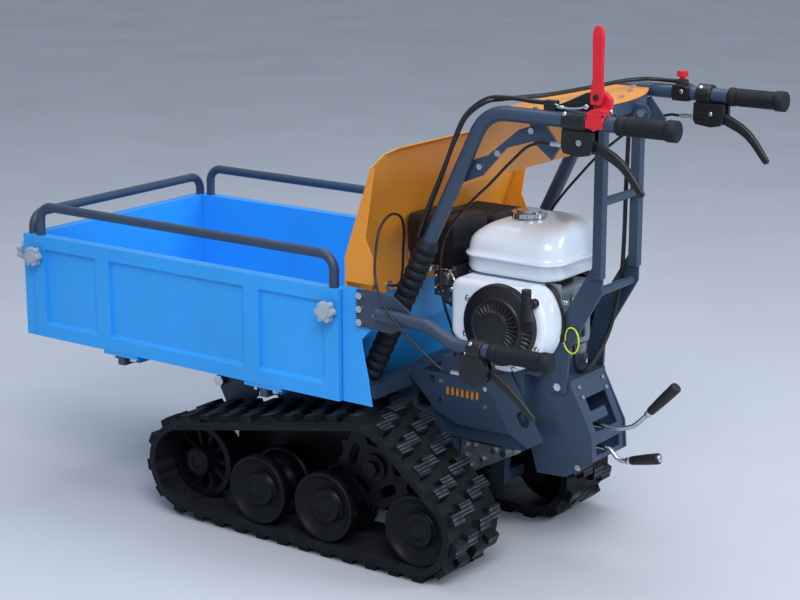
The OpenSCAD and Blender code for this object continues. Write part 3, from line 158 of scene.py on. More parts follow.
@dataclass(frozen=True)
class Finish:
    """One real material with its process, and the pattern sizes that the eye can see.

    Attributes:
        name: The material's name.
        colour: Its sRGB colour.
        coat: Its gloss class, which gives the mean roughness.
        metallic: 1 for bare metal, 0 for paint, plastic and rubber.
        grain_mm: Size of the fine surface grain.
        grain_depth_mm: Height of that grain.
        patch_mm: Size of the broad patches of uneven tone.
        patch_tone: How much darker those patches are, from 0 to 1.
        dust: How much pale dust lies on faces that look up, from 0 to 1.
        clear: Strength of a clear coat.
        sheen: Level of the surface's own reflection; dry rubber and dusty paint have less.
        slot: Slot of the pieces made here that wear it; not used.
    """

    name: str
    colour: str
    coat: Coat = Coat.SATIN
    metallic: float = 0.0
    grain_mm: float = 2.0
    grain_depth_mm: float = 0.03
    patch_mm: float = 120.0
    patch_tone: float = 0.12
    dust: float = 0.1
    clear: float = 0.0
    sheen: float = 0.5
    slot: Slot | None = None

    def build(self) -> bpy.types.Material:
        """Make the material once, and give the same one back afterwards.

        Returns:
            The material.
        """
        known = bpy.data.materials.get(self.name)
        if known:
            return known
        made = bpy.data.materials.new(self.name)
        made.use_nodes = True
        tree = made.node_tree
        shader = tree.nodes["Principled BSDF"]
        self.paint(tree, shader, add(tree, "ShaderNodeTexCoord").outputs["Object"])
        shader.inputs["Metallic"].default_value = self.metallic
        shader.inputs["Specular IOR Level"].default_value = self.sheen
        shader.inputs["Coat Weight"].default_value = self.clear
        shader.inputs["Coat Roughness"].default_value = 0.12
        made.diffuse_color = linear(self.colour)
        return made

    def noise(self, tree: Tree, where: Socket, size_mm: float, detail: float = 3.0) -> Socket:
        """Add a noise pattern.

        Args:
            tree: The material's node tree.
            where: The place to look the pattern up.
            size_mm: Size of its features.
            detail: How many finer layers it has.

        Returns:
            The pattern's value, from 0 to 1.
        """
        inputs = {"Vector": where, "Scale": PER_METRE / size_mm, "Detail": detail, "Roughness": 0.55}
        return add(tree, "ShaderNodeTexNoise", inputs).outputs["Fac"]

    def band(self, tree: Tree, value: Socket, lo: Pair, hi: Pair) -> Socket:
        """Map a value from one span to another, clamped.

        Args:
            tree: The material's node tree.
            value: The value.
            lo: The span that it comes from.
            hi: The span that it goes to.

        Returns:
            The mapped value.
        """
        inputs = {"Value": value, "From Min": lo[0], "From Max": lo[1], "To Min": hi[0], "To Max": hi[1]}
        return add(tree, "ShaderNodeMapRange", inputs).outputs["Result"]

    def paint(self, tree: Tree, shader: bpy.types.Node, where: Socket) -> None:
        """Wire colour, roughness and bump into the shader.

        Args:
            tree: The material's node tree.
            shader: The surface shader.
            where: The place to look patterns up.
        """
        patches = self.noise(tree, where, self.patch_mm)
        grain = self.noise(tree, where, self.grain_mm, 2.0)
        blotch = self.band(tree, patches, (0.35, 0.65), (0.0, 1.0))
        full = linear(self.colour)
        shade = (*(c * (1 - self.patch_tone) for c in full[:3]), 1.0)
        mix = add(tree, "ShaderNodeMix", {"Factor": blotch, "A": full, "B": shade}, data_type="RGBA")
        tree.links.new(self.powder(tree, mix.outputs["Result"], where), shader.inputs["Base Color"])
        mean = self.coat.value
        rough = self.band(tree, patches, (0.3, 0.7), (mean - 0.06, mean + 0.09))
        tree.links.new(rough, shader.inputs["Roughness"])
        relief = {"Height": grain, "Strength": 1.0, "Distance": self.grain_depth_mm * MM}
        bump = add(tree, "ShaderNodeBump", relief)
        tree.links.new(bump.outputs["Normal"], shader.inputs["Normal"])

    def powder(self, tree: Tree, tone: Socket, where: Socket) -> Socket:
        """Lay pale yard dust on faces that look up.

        Args:
            tree: The material's node tree.
            tone: The clean colour.
            where: The place to look patterns up.

        Returns:
            The dusty colour.
        """
        if self.dust <= 0:
            return tone
        normal = add(tree, "ShaderNodeNewGeometry").outputs["Normal"]
        up = add(tree, "ShaderNodeSeparateXYZ", {"Vector": normal}).outputs["Z"]
        lying = self.band(tree, up, (0.55, 0.98), (0.0, self.dust))
        specks = self.band(tree, self.noise(tree, where, 35.0, 5.0), (0.35, 0.7), (0.25, 1.0))
        amount = add(tree, "ShaderNodeMath", {0: lying, 1: specks}, operation="MULTIPLY").outputs["Value"]
        inputs = {"Factor": amount, "A": tone, "B": linear("#9a9690")}
        return add(tree, "ShaderNodeMix", inputs, data_type="RGBA").outputs["Result"]


@dataclass(frozen=True)
class TreadTop(Finish):
    """Lug crowns: rubber with a moulded cross hatch that scuffs pale.

    Attributes:
        hatch_mm: Distance of the hatch lines.
    """

    hatch_mm: float = 7.917

    def powder(self, tree: Tree, tone: Socket, where: Socket) -> Socket:
        """Scuff the hatch lines pale where the ground rubs them.

        Args:
            tree: The material's node tree.
            tone: The clean colour.
            where: The place to look patterns up.

        Returns:
            The scuffed colour.
        """
        slant = {"Vector": where, "Rotation": (0.6, 0.7, 0.4)}
        turned = add(tree, "ShaderNodeMapping", slant).outputs["Vector"]
        # Bands of a wave node repeat every tenth of pi of its scaled unit.
        wave = {"Vector": turned, "Scale": math.pi / 10 * PER_METRE / self.hatch_mm, "Distortion": 0.6}
        lines = add(tree, "ShaderNodeTexWave", wave).outputs["Fac"]
        worn = self.band(tree, self.noise(tree, where, 30.0, 4.0), (0.35, 0.62), (0.15, 1.0))
        pale = self.band(tree, lines, (0.45, 0.7), (0.0, 0.4))
        mark = add(tree, "ShaderNodeMath", {0: pale, 1: worn}, operation="MULTIPLY").outputs["Value"]
        inputs = {"Factor": mark, "A": tone, "B": linear("#6a7280")}
        return add(tree, "ShaderNodeMix", inputs, data_type="RGBA").outputs["Result"]


# Sheet steel, phosphated and powder coated blue: an even satin skin with a fine orange peel.
BLUE = Finish(
    "sheet_steel_powder_coat_blue", "#2ba0f0", patch_mm=260, patch_tone=0.1, dust=0.06, grain_mm=1.6
)
# Tube and plate, powder coated slate: the same skin, darker, with a little dust on the flats.
SLATE = Finish(
    "steel_powder_coat_slate", "#2f4157", patch_mm=180, patch_tone=0.14, dust=0.06, grain_mm=1.4
)
# Folded sheet, powder coated golden yellow: even, with soft highlights along the folds.
YELLOW = Finish("sheet_steel_powder_coat_yellow", "#e0912a", patch_mm=200, patch_tone=0.08, dust=0.04)
# Stamped tank and fan cover in gloss white enamel: clear reflections under a smooth coat.
WHITE = Finish(
    "stamped_steel_enamel_white", "#dfe9f2", Coat.GLOSS, grain_mm=4, grain_depth_mm=0.01, patch_tone=0.05,
    dust=0.02, clear=0.5, slot=Slot.WHITE_PAINT,
)
# Track rubber, press moulded: matt black with a faint bloom of dust; the blue cast of its colour is a
# painted sky reflection.
TREAD = Finish(
    "moulded_rubber_track", "#0d1117", Coat.MATT, grain_mm=1.2, grain_depth_mm=0.08, patch_mm=60,
    patch_tone=0.3, dust=0.05, sheen=0.22,
)
# Crowns of the lugs: the same rubber, scuffed pale along its moulded hatch; the blue cast of its colour is a
# painted sky reflection.
LUG_TOP = TreadTop(
    "moulded_rubber_lug_crown", "#14181f", Coat.MATT, grain_mm=1.2, grain_depth_mm=0.1, patch_mm=50,
    patch_tone=0.25, sheen=0.3,
)
# Grips and sleeves in soft rubber: matt, nearly even black; the blue cast of the black is a painted sky
# reflection.
SOFT = Finish(
    "moulded_rubber_grip", "#0f141b", Coat.MATT, grain_mm=0.8, grain_depth_mm=0.05, patch_mm=50, dust=0.03,
    sheen=0.3, slot=Slot.SOFT_RUBBER,
)
# Pressed rollers, sprockets and guards in satin black stove paint: thin sheen on the rims; the blue cast of
# the black is a painted sky reflection.
BLACK = Finish(
    "pressed_steel_paint_black", "#0a0d12", patch_mm=70, patch_tone=0.2, dust=0.015, sheen=0.18,
    slot=Slot.BLACK_STEEL,
)
# Muffler shell in heat-proof black: dry and slightly rusty grey.
HOT_BLACK = Finish(
    "steel_heat_paint_black", "#111214", Coat.MATT, grain_mm=1.0, grain_depth_mm=0.05, patch_mm=40,
    patch_tone=0.3, dust=0.04,
)
# Sand cast aluminium of crankcase and gearbox: bright grey grain with oily patches.
CAST = Finish(
    "sand_cast_aluminium", "#9aa2a8", metallic=0.85, grain_mm=1.1, grain_depth_mm=0.12, patch_mm=60,
    patch_tone=0.3, slot=Slot.CAST_ALLOY,
)
# Die cast carburettor body: darker, finer grain.
DIE_CAST = Finish(
    "die_cast_zinc_alloy", "#6b7278", metallic=0.85, grain_mm=0.8, grain_depth_mm=0.06, patch_mm=30,
    patch_tone=0.3, slot=Slot.CAST_ALLOY,
)
# Zinc plated screws and rods: pale, slightly blotched metal.
ZINC = Finish(
    "steel_zinc_plate", "#d3dae0", Coat.GLOSS, 1.0, grain_mm=0.8, grain_depth_mm=0.01, patch_mm=18,
    patch_tone=0.2, dust=0.0, slot=Slot.ZINC_STEEL,
)
# Chromed filler cap: a mirror with a little haze.
CHROME = Finish(
    "steel_chrome_plate", "#b9bfc4", Coat.GLOSS, 1.0, grain_mm=3, grain_depth_mm=0.005, patch_mm=40,
    patch_tone=0.06, dust=0.0, slot=Slot.BRIGHT_CHROME,
)
# Black glass-filled nylon of housings and starter: satin with a spark-eroded grain.
NYLON = Finish(
    "moulded_nylon_black", "#0d0f13", grain_mm=0.7, grain_depth_mm=0.05, patch_mm=60, patch_tone=0.15,
    dust=0.03, slot=Slot.BLACK_PLASTIC,
)
# Bright red moulded plastic of lever and stop button: glossy and clean.
RED = Finish(
    "moulded_plastic_red", "#d3202f", Coat.GLOSS, grain_mm=3, grain_depth_mm=0.01, patch_mm=60,
    patch_tone=0.12, dust=0.0, slot=Slot.RED_PLASTIC,
)
# Grey nylon star knobs: satin and slightly chalky.
GREY = Finish(
    "moulded_nylon_grey", "#a3b0bb", grain_mm=0.8, grain_depth_mm=0.04, patch_mm=25, patch_tone=0.15,
    dust=0.05,
)
# PVC sheath of cables: smooth black with a soft highlight.
SHEATH = Finish(
    "extruded_pvc_sheath", "#0a0c0f", grain_mm=3, grain_depth_mm=0.01, patch_mm=40, patch_tone=0.15,
    dust=0.03, slot=Slot.BLACK_PLASTIC,
)
# Twisted marker cord in yellow-green polyester: bright with a fine twist.
CORD = Finish(
    "twisted_polyester_cord", "#cfe838", Coat.MATT, grain_mm=1.2, grain_depth_mm=0.15, patch_mm=8,
    patch_tone=0.25, dust=0.0,
)
# Power-floated pale concrete: nearly plain, with a soft cloudiness.
CONCRETE = Finish(
    "floated_concrete_pale", "#c2c5c9", Coat.MATT, grain_mm=6, grain_depth_mm=0.1, patch_mm=600,
    patch_tone=0.06, dust=0.0,
)


def soften(obj: bpy.types.Object, bevel_mm: float, angle_deg: float = 32) -> None:
    """Round the sharp edges of an object and level its shading.

    Args:
        obj: A mesh object.
        bevel_mm: Width of the rounding.
        angle_deg: Edges sharper than this are rounded.
    """
    weld = obj.modifiers.new("weld", "WELD")
    weld.merge_threshold = 2e-6
    bevel = obj.modifiers.new("soft_edges", "BEVEL")
    bevel.width = bevel_mm * MM
    bevel.segments = 2
    bevel.limit_method = "ANGLE"
    bevel.angle_limit = math.radians(angle_deg)
    bevel.use_clamp_overlap = True
    bevel.harden_normals = False
    level = obj.modifiers.new("level_normals", "WEIGHTED_NORMAL")
    level.keep_sharp = False
    level.weight = 80


def placed(name: str, data: bpy.types.ID) -> bpy.types.Object:
    """Make an object from its data and put it in the scene.

    Args:
        name: The object's name.
        data: Its mesh, curve, lamp or camera.

    Returns:
        The object.
    """
    obj = bpy.data.objects.new(name, data)
    bpy.context.scene.collection.objects.link(obj)
    return obj


def piece(name: str, bm: Shape, body: str, finish: Finish, *stands_for: str, bevel_mm: float = 0.0) -> None:
    """Close a shape and put it in the scene as one piece of the object.

    Args:
        name: The piece's name.
        bm: Its faces, which are freed here.
        body: The CAD body that it rides on.
        finish: Its material.
        *stands_for: CAD nodes that it replaces.
        bevel_mm: Width of its rounded edges, or 0 to leave them as made.
    """
    bmesh.ops.remove_doubles(bm, verts=bm.verts, dist=1e-6)
    bmesh.ops.recalc_face_normals(bm, faces=bm.faces)
    mesh = bpy.data.meshes.new(name)
    bm.to_mesh(mesh)
    bm.free()
    mesh.materials.append(finish.build())
    for face in mesh.polygons:
        face.use_smooth = True
    obj = placed(name, mesh)
    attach(obj, body)
    if stands_for:
        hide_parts(*stands_for)
    if bevel_mm > 0:
        soften(obj, bevel_mm)
    LOG.info("made %s", name)


def loft(bm: Shape, rings: Sequence[Sequence[Vector]], capped: bool = True) -> None:
    """Skin a row of rings that have the same number of points.

    Args:
        bm: The shape to add to.
        rings: The rings, in order, in metres.
        capped: Whether the first and last ring get a face.
    """
    rows = [[bm.verts.new(p) for p in ring] for ring in rings]
    count = len(rows[0])
    for a, b in zip(rows, rows[1:]):
        for k in range(count):
            bm.faces.new((a[k], a[(k + 1) % count], b[(k + 1) % count], b[k]))
    if capped:
        bm.faces.new(list(reversed(rows[0])))
        bm.faces.new(rows[-1])


def circle(centre: Vector, side: Vector, up: Vector, radius: float, sides: int) -> list[Vector]:
    """Points of a circle round a centre in metres, with its radius in millimetres."""
    return [centre + (side * math.cos(t) + up * math.sin(t)) * radius * MM for t in turns(sides)]


def lathe(
    bm: Shape, origin: Vector, direction: Vector, profile: Profile, sides: int = 40, capped: bool = True
) -> None:
    """Turn a profile round an axis.

    Args:
        bm: The shape to add to.
        origin: Where the axis starts, in metres.
        direction: Vector along the axis.
        profile: Pairs of distance along the axis and radius.
        sides: Points round the axis.
        capped: Whether the first and last ring get a face.
    """
    steep = abs(direction.normalized().z) >= 0.9
    side = direction.cross(X_AXIS if steep else Z_AXIS).normalized()
    up = side.cross(direction).normalized()
    rings = [circle(origin + direction * along * MM, side, up, max(r, 0.01), sides) for along, r in profile]
    loft(bm, rings, capped)


def prism(bm: Shape, outline: Profile, y0: float, y1: float, shift: float = 0.0) -> None:
    """Add a block that has its outline in X and Z.

    Args:
        bm: The shape to add to.
        outline: Points in X and Z.
        y0: Where the block starts.
        y1: Where it ends.
        shift: How far the outline is moved along X.
    """
    loft(bm, [[mm(x + shift, y, z) for x, z in outline] for y in (y0, y1)])


def arc_block(bm: Shape, axis: Pair, span: Pair, radii: Pair, sweep: Pair, steps: int = 18) -> None:
    """Add a part of a ring round an axis along X.

    Args:
        bm: The shape to add to.
        axis: Y and Z of the axis.
        span: Where the ring starts and ends along X.
        radii: Inner and outer radius.
        sweep: First and last angle in degrees, from +Y towards +Z.
        steps: Stretches along the arc.
    """
    corners = ((span[0], radii[0]), (span[1], radii[0]), (span[1], radii[1]), (span[0], radii[1]))
    rings = []
    for k in range(steps + 1):
        t = math.radians(sweep[0] + (sweep[1] - sweep[0]) * k / steps)
        rings.append([mm(x, *polar(axis, r, t)) for x, r in corners])
    loft(bm, rings)


def tube(bm: Shape, line: Sequence[Vector], radius: float, sides: int = 14) -> None:
    """Sweep a round rod along a line that runs mostly in X and Z.

    Args:
        bm: The shape to add to.
        line: Points of the line, in metres.
        radius: The rod's radius.
        sides: Points round the rod.
    """
    rings = []
    for i, place in enumerate(line):
        ahead = line[min(i + 1, len(line) - 1)] - line[max(i - 1, 0)]
        side = ahead.cross(Vector((0.1, 1, 0.1))).normalized()
        rings.append(circle(place, side, side.cross(ahead).normalized(), radius, sides))
    loft(bm, rings)


def smooth_route(points: Sequence[Point], steps: int) -> list[Vector]:
    """Run a smooth line through route points, as the CAD cables do.

    Args:
        points: Route points.
        steps: Points made for each stretch.

    Returns:
        Points of the line, in metres.
    """
    p = [Vector(q) for q in points]
    line = []
    for i in range(len(p) - 1):
        a, b, c, d = p[max(i - 1, 0)], p[i], p[i + 1], p[min(i + 2, len(p) - 1)]
        for t in (k / steps for k in range(steps)):
            straight = 2 * b + (c - a) * t
            square = (2 * a - 5 * b + 4 * c - d) * t * t
            cubic = (3 * b - a - 3 * c + d) * t**3
            line.append(0.5 * (straight + square + cubic) * MM)
    line.append(p[-1] * MM)
    return line


@dataclass
class Cable:
    """A control cable that runs from one fitting of the machine to another.

    Attributes:
        name: The piece's name.
        radius_mm: Radius of the sheath.
        route: Its route points, as in the CAD source.
        finish: Its material.
        body: The CAD body that it rides on.
        node: The CAD node that holds it.
    """

    name: str
    radius_mm: float
    route: Sequence[Point]
    finish: Finish = SHEATH
    body: str = "chassis"
    node: str = "control_cables"

    def build(self) -> None:
        """Make the cable as one open curve."""
        line = smooth_route(self.route, 8)
        curve = bpy.data.curves.new(self.name, "CURVE")
        curve.dimensions = "3D"
        curve.bevel_depth = self.radius_mm * MM
        curve.bevel_resolution = 4
        curve.use_fill_caps = True
        spline = curve.splines.new("POLY")
        spline.points.add(len(line) - 1)
        for dot, place in zip(spline.points, line):
            dot.co = (*place, 1.0)
        spline.use_smooth = True
        curve.materials.append(self.finish.build())
        obj = placed(self.name, curve)
        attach(obj, self.body)
        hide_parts(self.node)
        LOG.info("made %s", self.name)


@dataclass
class Cables:
    """All cables, the marker loop and the ribbed sleeve on the left leg.

    Attributes:
        control: Radius of the clutch cable, the stop wire and the loom.
        brake: Radius of the brake cables.
        latch: Radius of the tip latch cable.
        marker: Radius of the marker loop.
        tip_y: Y of the tip handle.
        deck_z: Height of the deck that the brake cables go through.
        clamp_x: Where the clutch cable leaves its guard.
        kill_x: Where the stop wire leaves its switch.
        leg_foot: Where the sleeve starts on the left leg.
        leg_lean: How far the leg leans back for each unit of height.
        ribs: How many ribs the sleeve has.
        rib_pitch: Their distance.
    """

    control: float = 4.5
    brake: float = 3.0
    latch: float = 2.75
    marker: float = 1.6
    tip_y: float = 317.0
    deck_z: float = 430.0
    clamp_x: float = -550.0
    kill_x: float = -590.0
    leg_foot: Point = (-132.0, 228.0, 392.0)
    leg_lean: float = 0.4865
    ribs: int = 16
    rib_pitch: float = 21.0

    def rows(self) -> list[Cable]:
        """Route the cables as the CAD source does.

        Returns:
            The cables, in the order that they are made.
        """
        t = self.tip_y
        clutch = (
            (self.clamp_x, 222, 1010), (-536, 222, 1010), (-520, 222, 1010), (-470, 222, 1012),
            (-418, 224, 1006), (-372, 228, 972), (-345, 230, 920), (-318, 230, 850), (-288, 230, 780),
            (-262, 230, 712),
        )
        stop = (
            (self.kill_x, -228, 1004), (-580, -228, 1004), (-570, -228, 1004), (-545, -222, 1005),
            (-526, -206, 1006), (-514, -180, 1006), (-505, -140, 1006), (-492, -40, 1004), (-478, 90, 1004),
            (-460, 170, 1006), (-444, 208, 1006), (-420, 232, 1001), (-380, 240, 970), (-352, 240, 918),
            (-322, 240, 850), (-290, 240, 780), (-264, 238, 714),
        )
        brake_left = (
            (-568, 228, 933), (-556, 228, 933), (-542, 228, 932), (-510, 222, 920), (-475, 206, 895),
            (-440, 194, 866), (-400, 187, 828), (-360, 184, 792), (-312, 182, 740), (-284, 180, 690),
            (-276, 178, 620), (-274, 160, 560), (-268, 128, 510), (-262, 104, 475), (-260, 98, 456),
            (-260, 98, 443), (-260, 98, self.deck_z),
        )
        brake_right = (
            (-602, -228, 933), (-590, -228, 933), (-576, -228, 932), (-540, -222, 922), (-500, -210, 898),
            (-460, -202, 866), (-420, -198, 830), (-380, -196, 786), (-340, -196, 740), (-306, -194, 690),
            (-286, -188, 620), (-276, -164, 550), (-268, -128, 500), (-262, -104, 472), (-260, -98, 456),
            (-260, -98, 443), (-260, -98, self.deck_z),
        )
        loom = (
            (-574, -62, 949), (-573, -62, 900), (-571, -62, 800), (-570, -62, 700), (-567, -61, 620),
            (-562, -52, 560), (-557, -38, 510), (-550, -18, 470), (-541, 2, 440), (-528, 14, 423),
            (-512, 13, 421), (-500, 2, 427), (-490, -10, 443), (-484, -17, 459), (-479, -19.6, 468),
            (-475, -20, 470), (-472.3, -20, 470),
        )
        latch = (
            (-402, t, 471), (-393, t, 471), (-382, t + 1, 473), (-366, 322, 482), (-346, 328, 500),
            (-320, 334, 522), (-285, 334.2, 549), (-245, 332, 588), (-215, 318, 632), (-205, 305, 680),
            (-201, 286, 728), (-200, 250, 752), (-194, 205, 742), (-180, 172, 706), (-168, 158, 660),
            (-162, 151, 622), (-159, 150, 602), (-157, 150, 591), (-152, 150, 582.5), (-144, 150, 577),
            (-135.5, 150, 575), (-127.5, 150, 575),
        )
        marker = (
            (-518, 77.6, 501), (-520, 79.2, 515), (-526, 80.6, 527), (-535, 81, 531), (-544, 81, 527),
            (-551, 81, 513), (-552, 81, 497), (-547, 81, 483), (-537, 81, 477), (-526, 81.2, 482),
            (-520, 81.6, 491), (-517.6, 82, 498),
        )
        return [
            Cable("clutch_cable", self.control, clutch),
            Cable("stop_wire", self.control, stop),
            Cable("brake_cable_left", self.brake, brake_left),
            Cable("brake_cable_right", self.brake, brake_right),
            Cable("post_loom", self.control, loom),
            Cable("tip_latch_cable", self.latch, latch, body="bed", node="tip_cable"),
            Cable("marker_loop", self.marker, marker, CORD),
        ]

    def build(self) -> None:
        """Make every cable and the sleeve."""
        for cable in self.rows():
            cable.build()
        self.sleeve()

    def sleeve(self) -> None:
        """Make the ribbed sleeve round the left leg."""
        rib = ((0, 19.4), (2, 21.6), (5, 23.1), (9, 23.6), (13, 23.1), (16, 21.6), (18, 19.4))
        profile: list[Pair] = [(6, 15.1), (6, 19)]
        for k in range(self.ribs):
            profile += [(9 + self.rib_pitch * k + along, r) for along, r in rib]
        profile += [(350, 19), (350, 15.1)]
        bm = bmesh.new()
        lathe(bm, mm(*self.leg_foot), Vector((-self.leg_lean, 0, 1)).normalized(), profile, 36)
        piece("leg_sleeve", bm, "chassis", SOFT, "control_cables")


@dataclass
class RubberGrip:
    """A ribbed rubber grip pushed on a tube end.

    Attributes:
        name: The piece's name.
        end: Closed end of the grip.
        length: Its length.
        radius: Radius over the ribs.
        body: The CAD body that it rides on.
        node: The CAD node that it replaces.
        rib_pitch: Distance of the ribs.
    """

    name: str
    end: Point
    length: float
    radius: float
    body: str
    node: str
    rib_pitch: float = 4.6

    def build(self) -> None:
        """Turn the grip with its end flange, ribs and collar."""
        r, tail, pitch = self.radius, self.length, self.rib_pitch
        low = r - 1.6
        profile = [(0, r - 5), (0.8, r - 1.5), (2.5, r + 1.2), (20, r + 1.4), (23, r + 0.4), (25, low)]
        for at in (27 + pitch * k for k in range(int((tail - 44) / pitch))):
            profile += [(at, low), (at + 0.8, r - 1.0), (at + 2.9, r - 1.0), (at + 3.7, low)]
        profile += [(tail - 14, low), (tail - 12, r - 0.2), (tail - 2, r), (tail, r - 1.8), (tail, r - 4.3)]
        bm = bmesh.new()
        lathe(bm, mm(*self.end), X_AXIS, profile, 40)
        piece(self.name, bm, self.body, SOFT, self.node)


@dataclass
class FuelTank:
    """Stamped white tank: two pressings joined at a rolled seam, with a crown that slopes to the front.

    Attributes:
        lo: Rear and right edge.
        hi: Front and left edge.
        corner: Radius of the upright corners.
        neck: Foot of the filler neck.
    """

    lo: Pair = (-508.0, -92.0)
    hi: Pair = (-284.0, 112.0)
    corner: float = 40.0
    neck: Point = (-389.0, 18.0, 730.0)

    def ring(self, z: float, rear: float, front: float, left: float, right: float) -> list[Vector]:
        """One level of the tank, a rectangle with round corners.

        Args:
            z: Height of the level.
            rear: How far the rear edge is drawn in.
            front: How far the front edge is drawn in.
            left: How far the left side is drawn in.
            right: How far the right side is drawn in.

        Returns:
            The level's points, in metres.
        """
        x0, x1 = self.lo[0] + rear, self.hi[0] - front
        y0, y1 = self.lo[1] + right, self.hi[1] - left
        r = min(self.corner - min(rear, front, left, right, 0), (x1 - x0) / 2.2, (y1 - y0) / 2.2)
        corners = ((x1 - r, y1 - r), (x0 + r, y1 - r), (x0 + r, y0 + r), (x1 - r, y0 + r))
        points = []
        for quarter, centre in enumerate(corners):
            for k in range(11):
                points.append(mm(*polar(centre, r, math.radians(90 * quarter + 9 * k)), z))
        return points

    def build(self) -> None:
        """Loft the two pressings and turn the filler neck."""
        even = (
            (620, 26), (620.6, 12), (625, 3), (632, 0), (655.6, 0), (656.2, -5), (657.2, -6), (661.2, -6),
            (662.2, -5), (662.8, 0),
        )
        crown = (
            (672, 0.3, 0.8, 0.6, 0.3), (682, 1, 2.2, 1.6, 1), (690, 2, 4.5, 3.2, 2), (698, 3.2, 9, 7, 3.2),
            (706, 4.8, 17, 13, 4.8), (713, 6.8, 26, 20, 6.8), (719, 9, 36, 27, 9), (724, 12.5, 47, 36, 12.5),
            (728, 16.5, 60, 46, 16.5), (731, 21, 74, 57, 21), (732.6, 26, 86, 67, 26), (733, 34, 96, 76, 34),
        )
        levels = [(z, inset, inset, inset, inset) for z, inset in even]
        bm = bmesh.new()
        loft(bm, [self.ring(*level) for level in (*levels, *crown)])
        piece("tank_shell", bm, "chassis", WHITE, "fuel_tank")
        neck = bmesh.new()
        lathe(neck, mm(*self.neck), Z_AXIS, [(0, 33), (2.4, 30), (3, 25), (4, 24), (4, 20), (2, 20)], 40)
        piece("filler_neck", neck, "chassis", CHROME, "fuel_tank")


@dataclass
class FanCover:
    """Pressed white fan cover with a rounded face, and the black starter on it.

    Attributes:
        crank: Centre of the crankshaft in X and Z.
        radius: Radius of the round part.
        box: Rear, front and top edge of the square part.
        low: Height of its lower front corner.
        soft: Radius of its corners.
        back_y: Where the cover starts.
        face_y: Where its face is.
        edge: Radius of the rounding round the face.
        rim: Radius of the starter's foot.
        dome: Radius of its dome.
        outer: Radii of its outer louvres.
        ridge: Radii of the ridge between its louvres.
        inner: Radii of its inner louvres.
        rope_exit: Where its rope comes out.
    """

    crank: Pair = (-409.0, 533.0)
    radius: float = 102.0
    box: Point = (-470.0, -281.0, 616.0)
    low: float = 506.0
    soft: float = 24.0
    back_y: float = 78.0
    face_y: float = 150.0
    edge: float = 15.0
    rim: float = 86.0
    dome: float = 84.0
    outer: Pair = (62.0, 82.0)
    ridge: Pair = (54.0, 60.0)
    inner: Pair = (30.0, 52.0)
    rope_exit: Point = (-489.0, 149.0, 590.0)

    def outline(self, inset: float) -> list[Pair]:
        """The cover's outline in X and Z, drawn in by a distance.

        Args:
            inset: The distance.

        Returns:
            Points round the outline.
        """
        rear, front, top = self.box
        soft = self.soft
        dots = [polar(self.crank, self.radius - inset, t) for t in turns(120)]
        for centre in ((rear + soft, top - soft), (front - soft, top - soft), (front - soft, self.low)):
            dots += [polar(centre, soft - inset, t) for t in turns(40)]
        dots = [(x, min(z, top - inset)) for x, z in dots]
        return [dots[k] for k in convex_hull_2d([Vector(d) for d in dots])]

    def ring(self, y: float, inset: float, count: int = 144) -> list[Vector]:
        """Even points round the outline at one depth.

        Args:
            y: The depth.
            inset: How far the outline is drawn in.
            count: How many points.

        Returns:
            The points in metres, from the lowest one on.
        """
        line = self.outline(inset)
        ahead = line[1:] + line[:1]
        spans = [math.dist(a, b) for a, b in zip(line, ahead)]
        step = sum(spans) / count
        reach, k, points = 0.0, 0, []
        for i in range(count):
            while i * step > reach + spans[k]:
                reach += spans[k]
                k += 1
            t = (i * step - reach) / spans[k]
            (x0, z0), (x1, z1) = line[k], ahead[k]
            points.append(mm(x0 + (x1 - x0) * t, y, z0 + (z1 - z0) * t))
        first = min(range(count), key=lambda n: (points[n].z, abs(points[n].x - self.crank[0] * MM)))
        return points[first:] + points[:first]

    def build(self) -> None:
        """Loft the cover, and lay the starter on it."""
        levels = [(self.back_y, -1.5), (self.back_y + 4, -1.5), (self.back_y + 4.6, 0)]
        for t in (math.pi / 2 * k / 6 for k in range(7)):
            levels.append((self.face_y - self.edge + self.edge * math.sin(t), self.edge * (1 - math.cos(t))))
        bm = bmesh.new()
        loft(bm, [self.ring(y, inset) for y, inset in levels])
        piece("fan_shroud", bm, "chassis", WHITE, "fan_cover")
        self.starter()

    def relief(self, r: float, turn: float) -> float:
        """Height of the starter's face.

        Args:
            r: Distance from the centre.
            turn: Angle in degrees.

        Returns:
            Height above the cover's face.
        """
        height = 13.0 + 13.5 * (1 - (min(r, self.dome) / self.dome) ** 3)
        if r > self.dome:
            height = 12.0 - 12.0 * (r - self.dome) / (self.rim - self.dome)
        if self.ridge[0] < r < self.ridge[1]:
            height += 2.2
        if self.inner[0] < r < self.inner[1] and 30 < turn < 246 and (turn / 12) % 1 > 0.55:
            height -= 7.0
        if self.outer[0] < r < self.outer[1] and 176 < turn < 290 and (turn / 8) % 1 > 0.5:
            height -= 6.0
        return height

    def starter(self) -> None:
        """Shape the starter's louvred face as one relief, with the rope exit beside it."""
        edges = [r + gap for r in (*self.outer, *self.ridge, *self.inner) for gap in (0.1, -0.1)]
        radii = sorted((self.rim, 85, self.dome, 75, 68, 44, 37, 24, 18, 10, 0.5, *edges), reverse=True)
        rings = [[], *([] for _ in radii)]
        for degrees in range(360):
            angle = math.radians(degrees)
            x, z = polar(self.crank, self.rim, angle)
            rings[0].append(mm(x, self.face_y - 1, z))
            for ring, r in zip(rings[1:], radii):
                x, z = polar(self.crank, r, angle)
                ring.append(mm(x, self.face_y + self.relief(min(r, self.rim - 0.01), degrees), z))
        bm = bmesh.new()
        loft(bm, rings)
        lathe(bm, mm(*self.rope_exit), Y_AXIS, [(0, 10), (10, 10), (13, 8.5), (14, 6)], 28)
        piece("starter_case", bm, "chassis", NYLON, "recoil_starter")


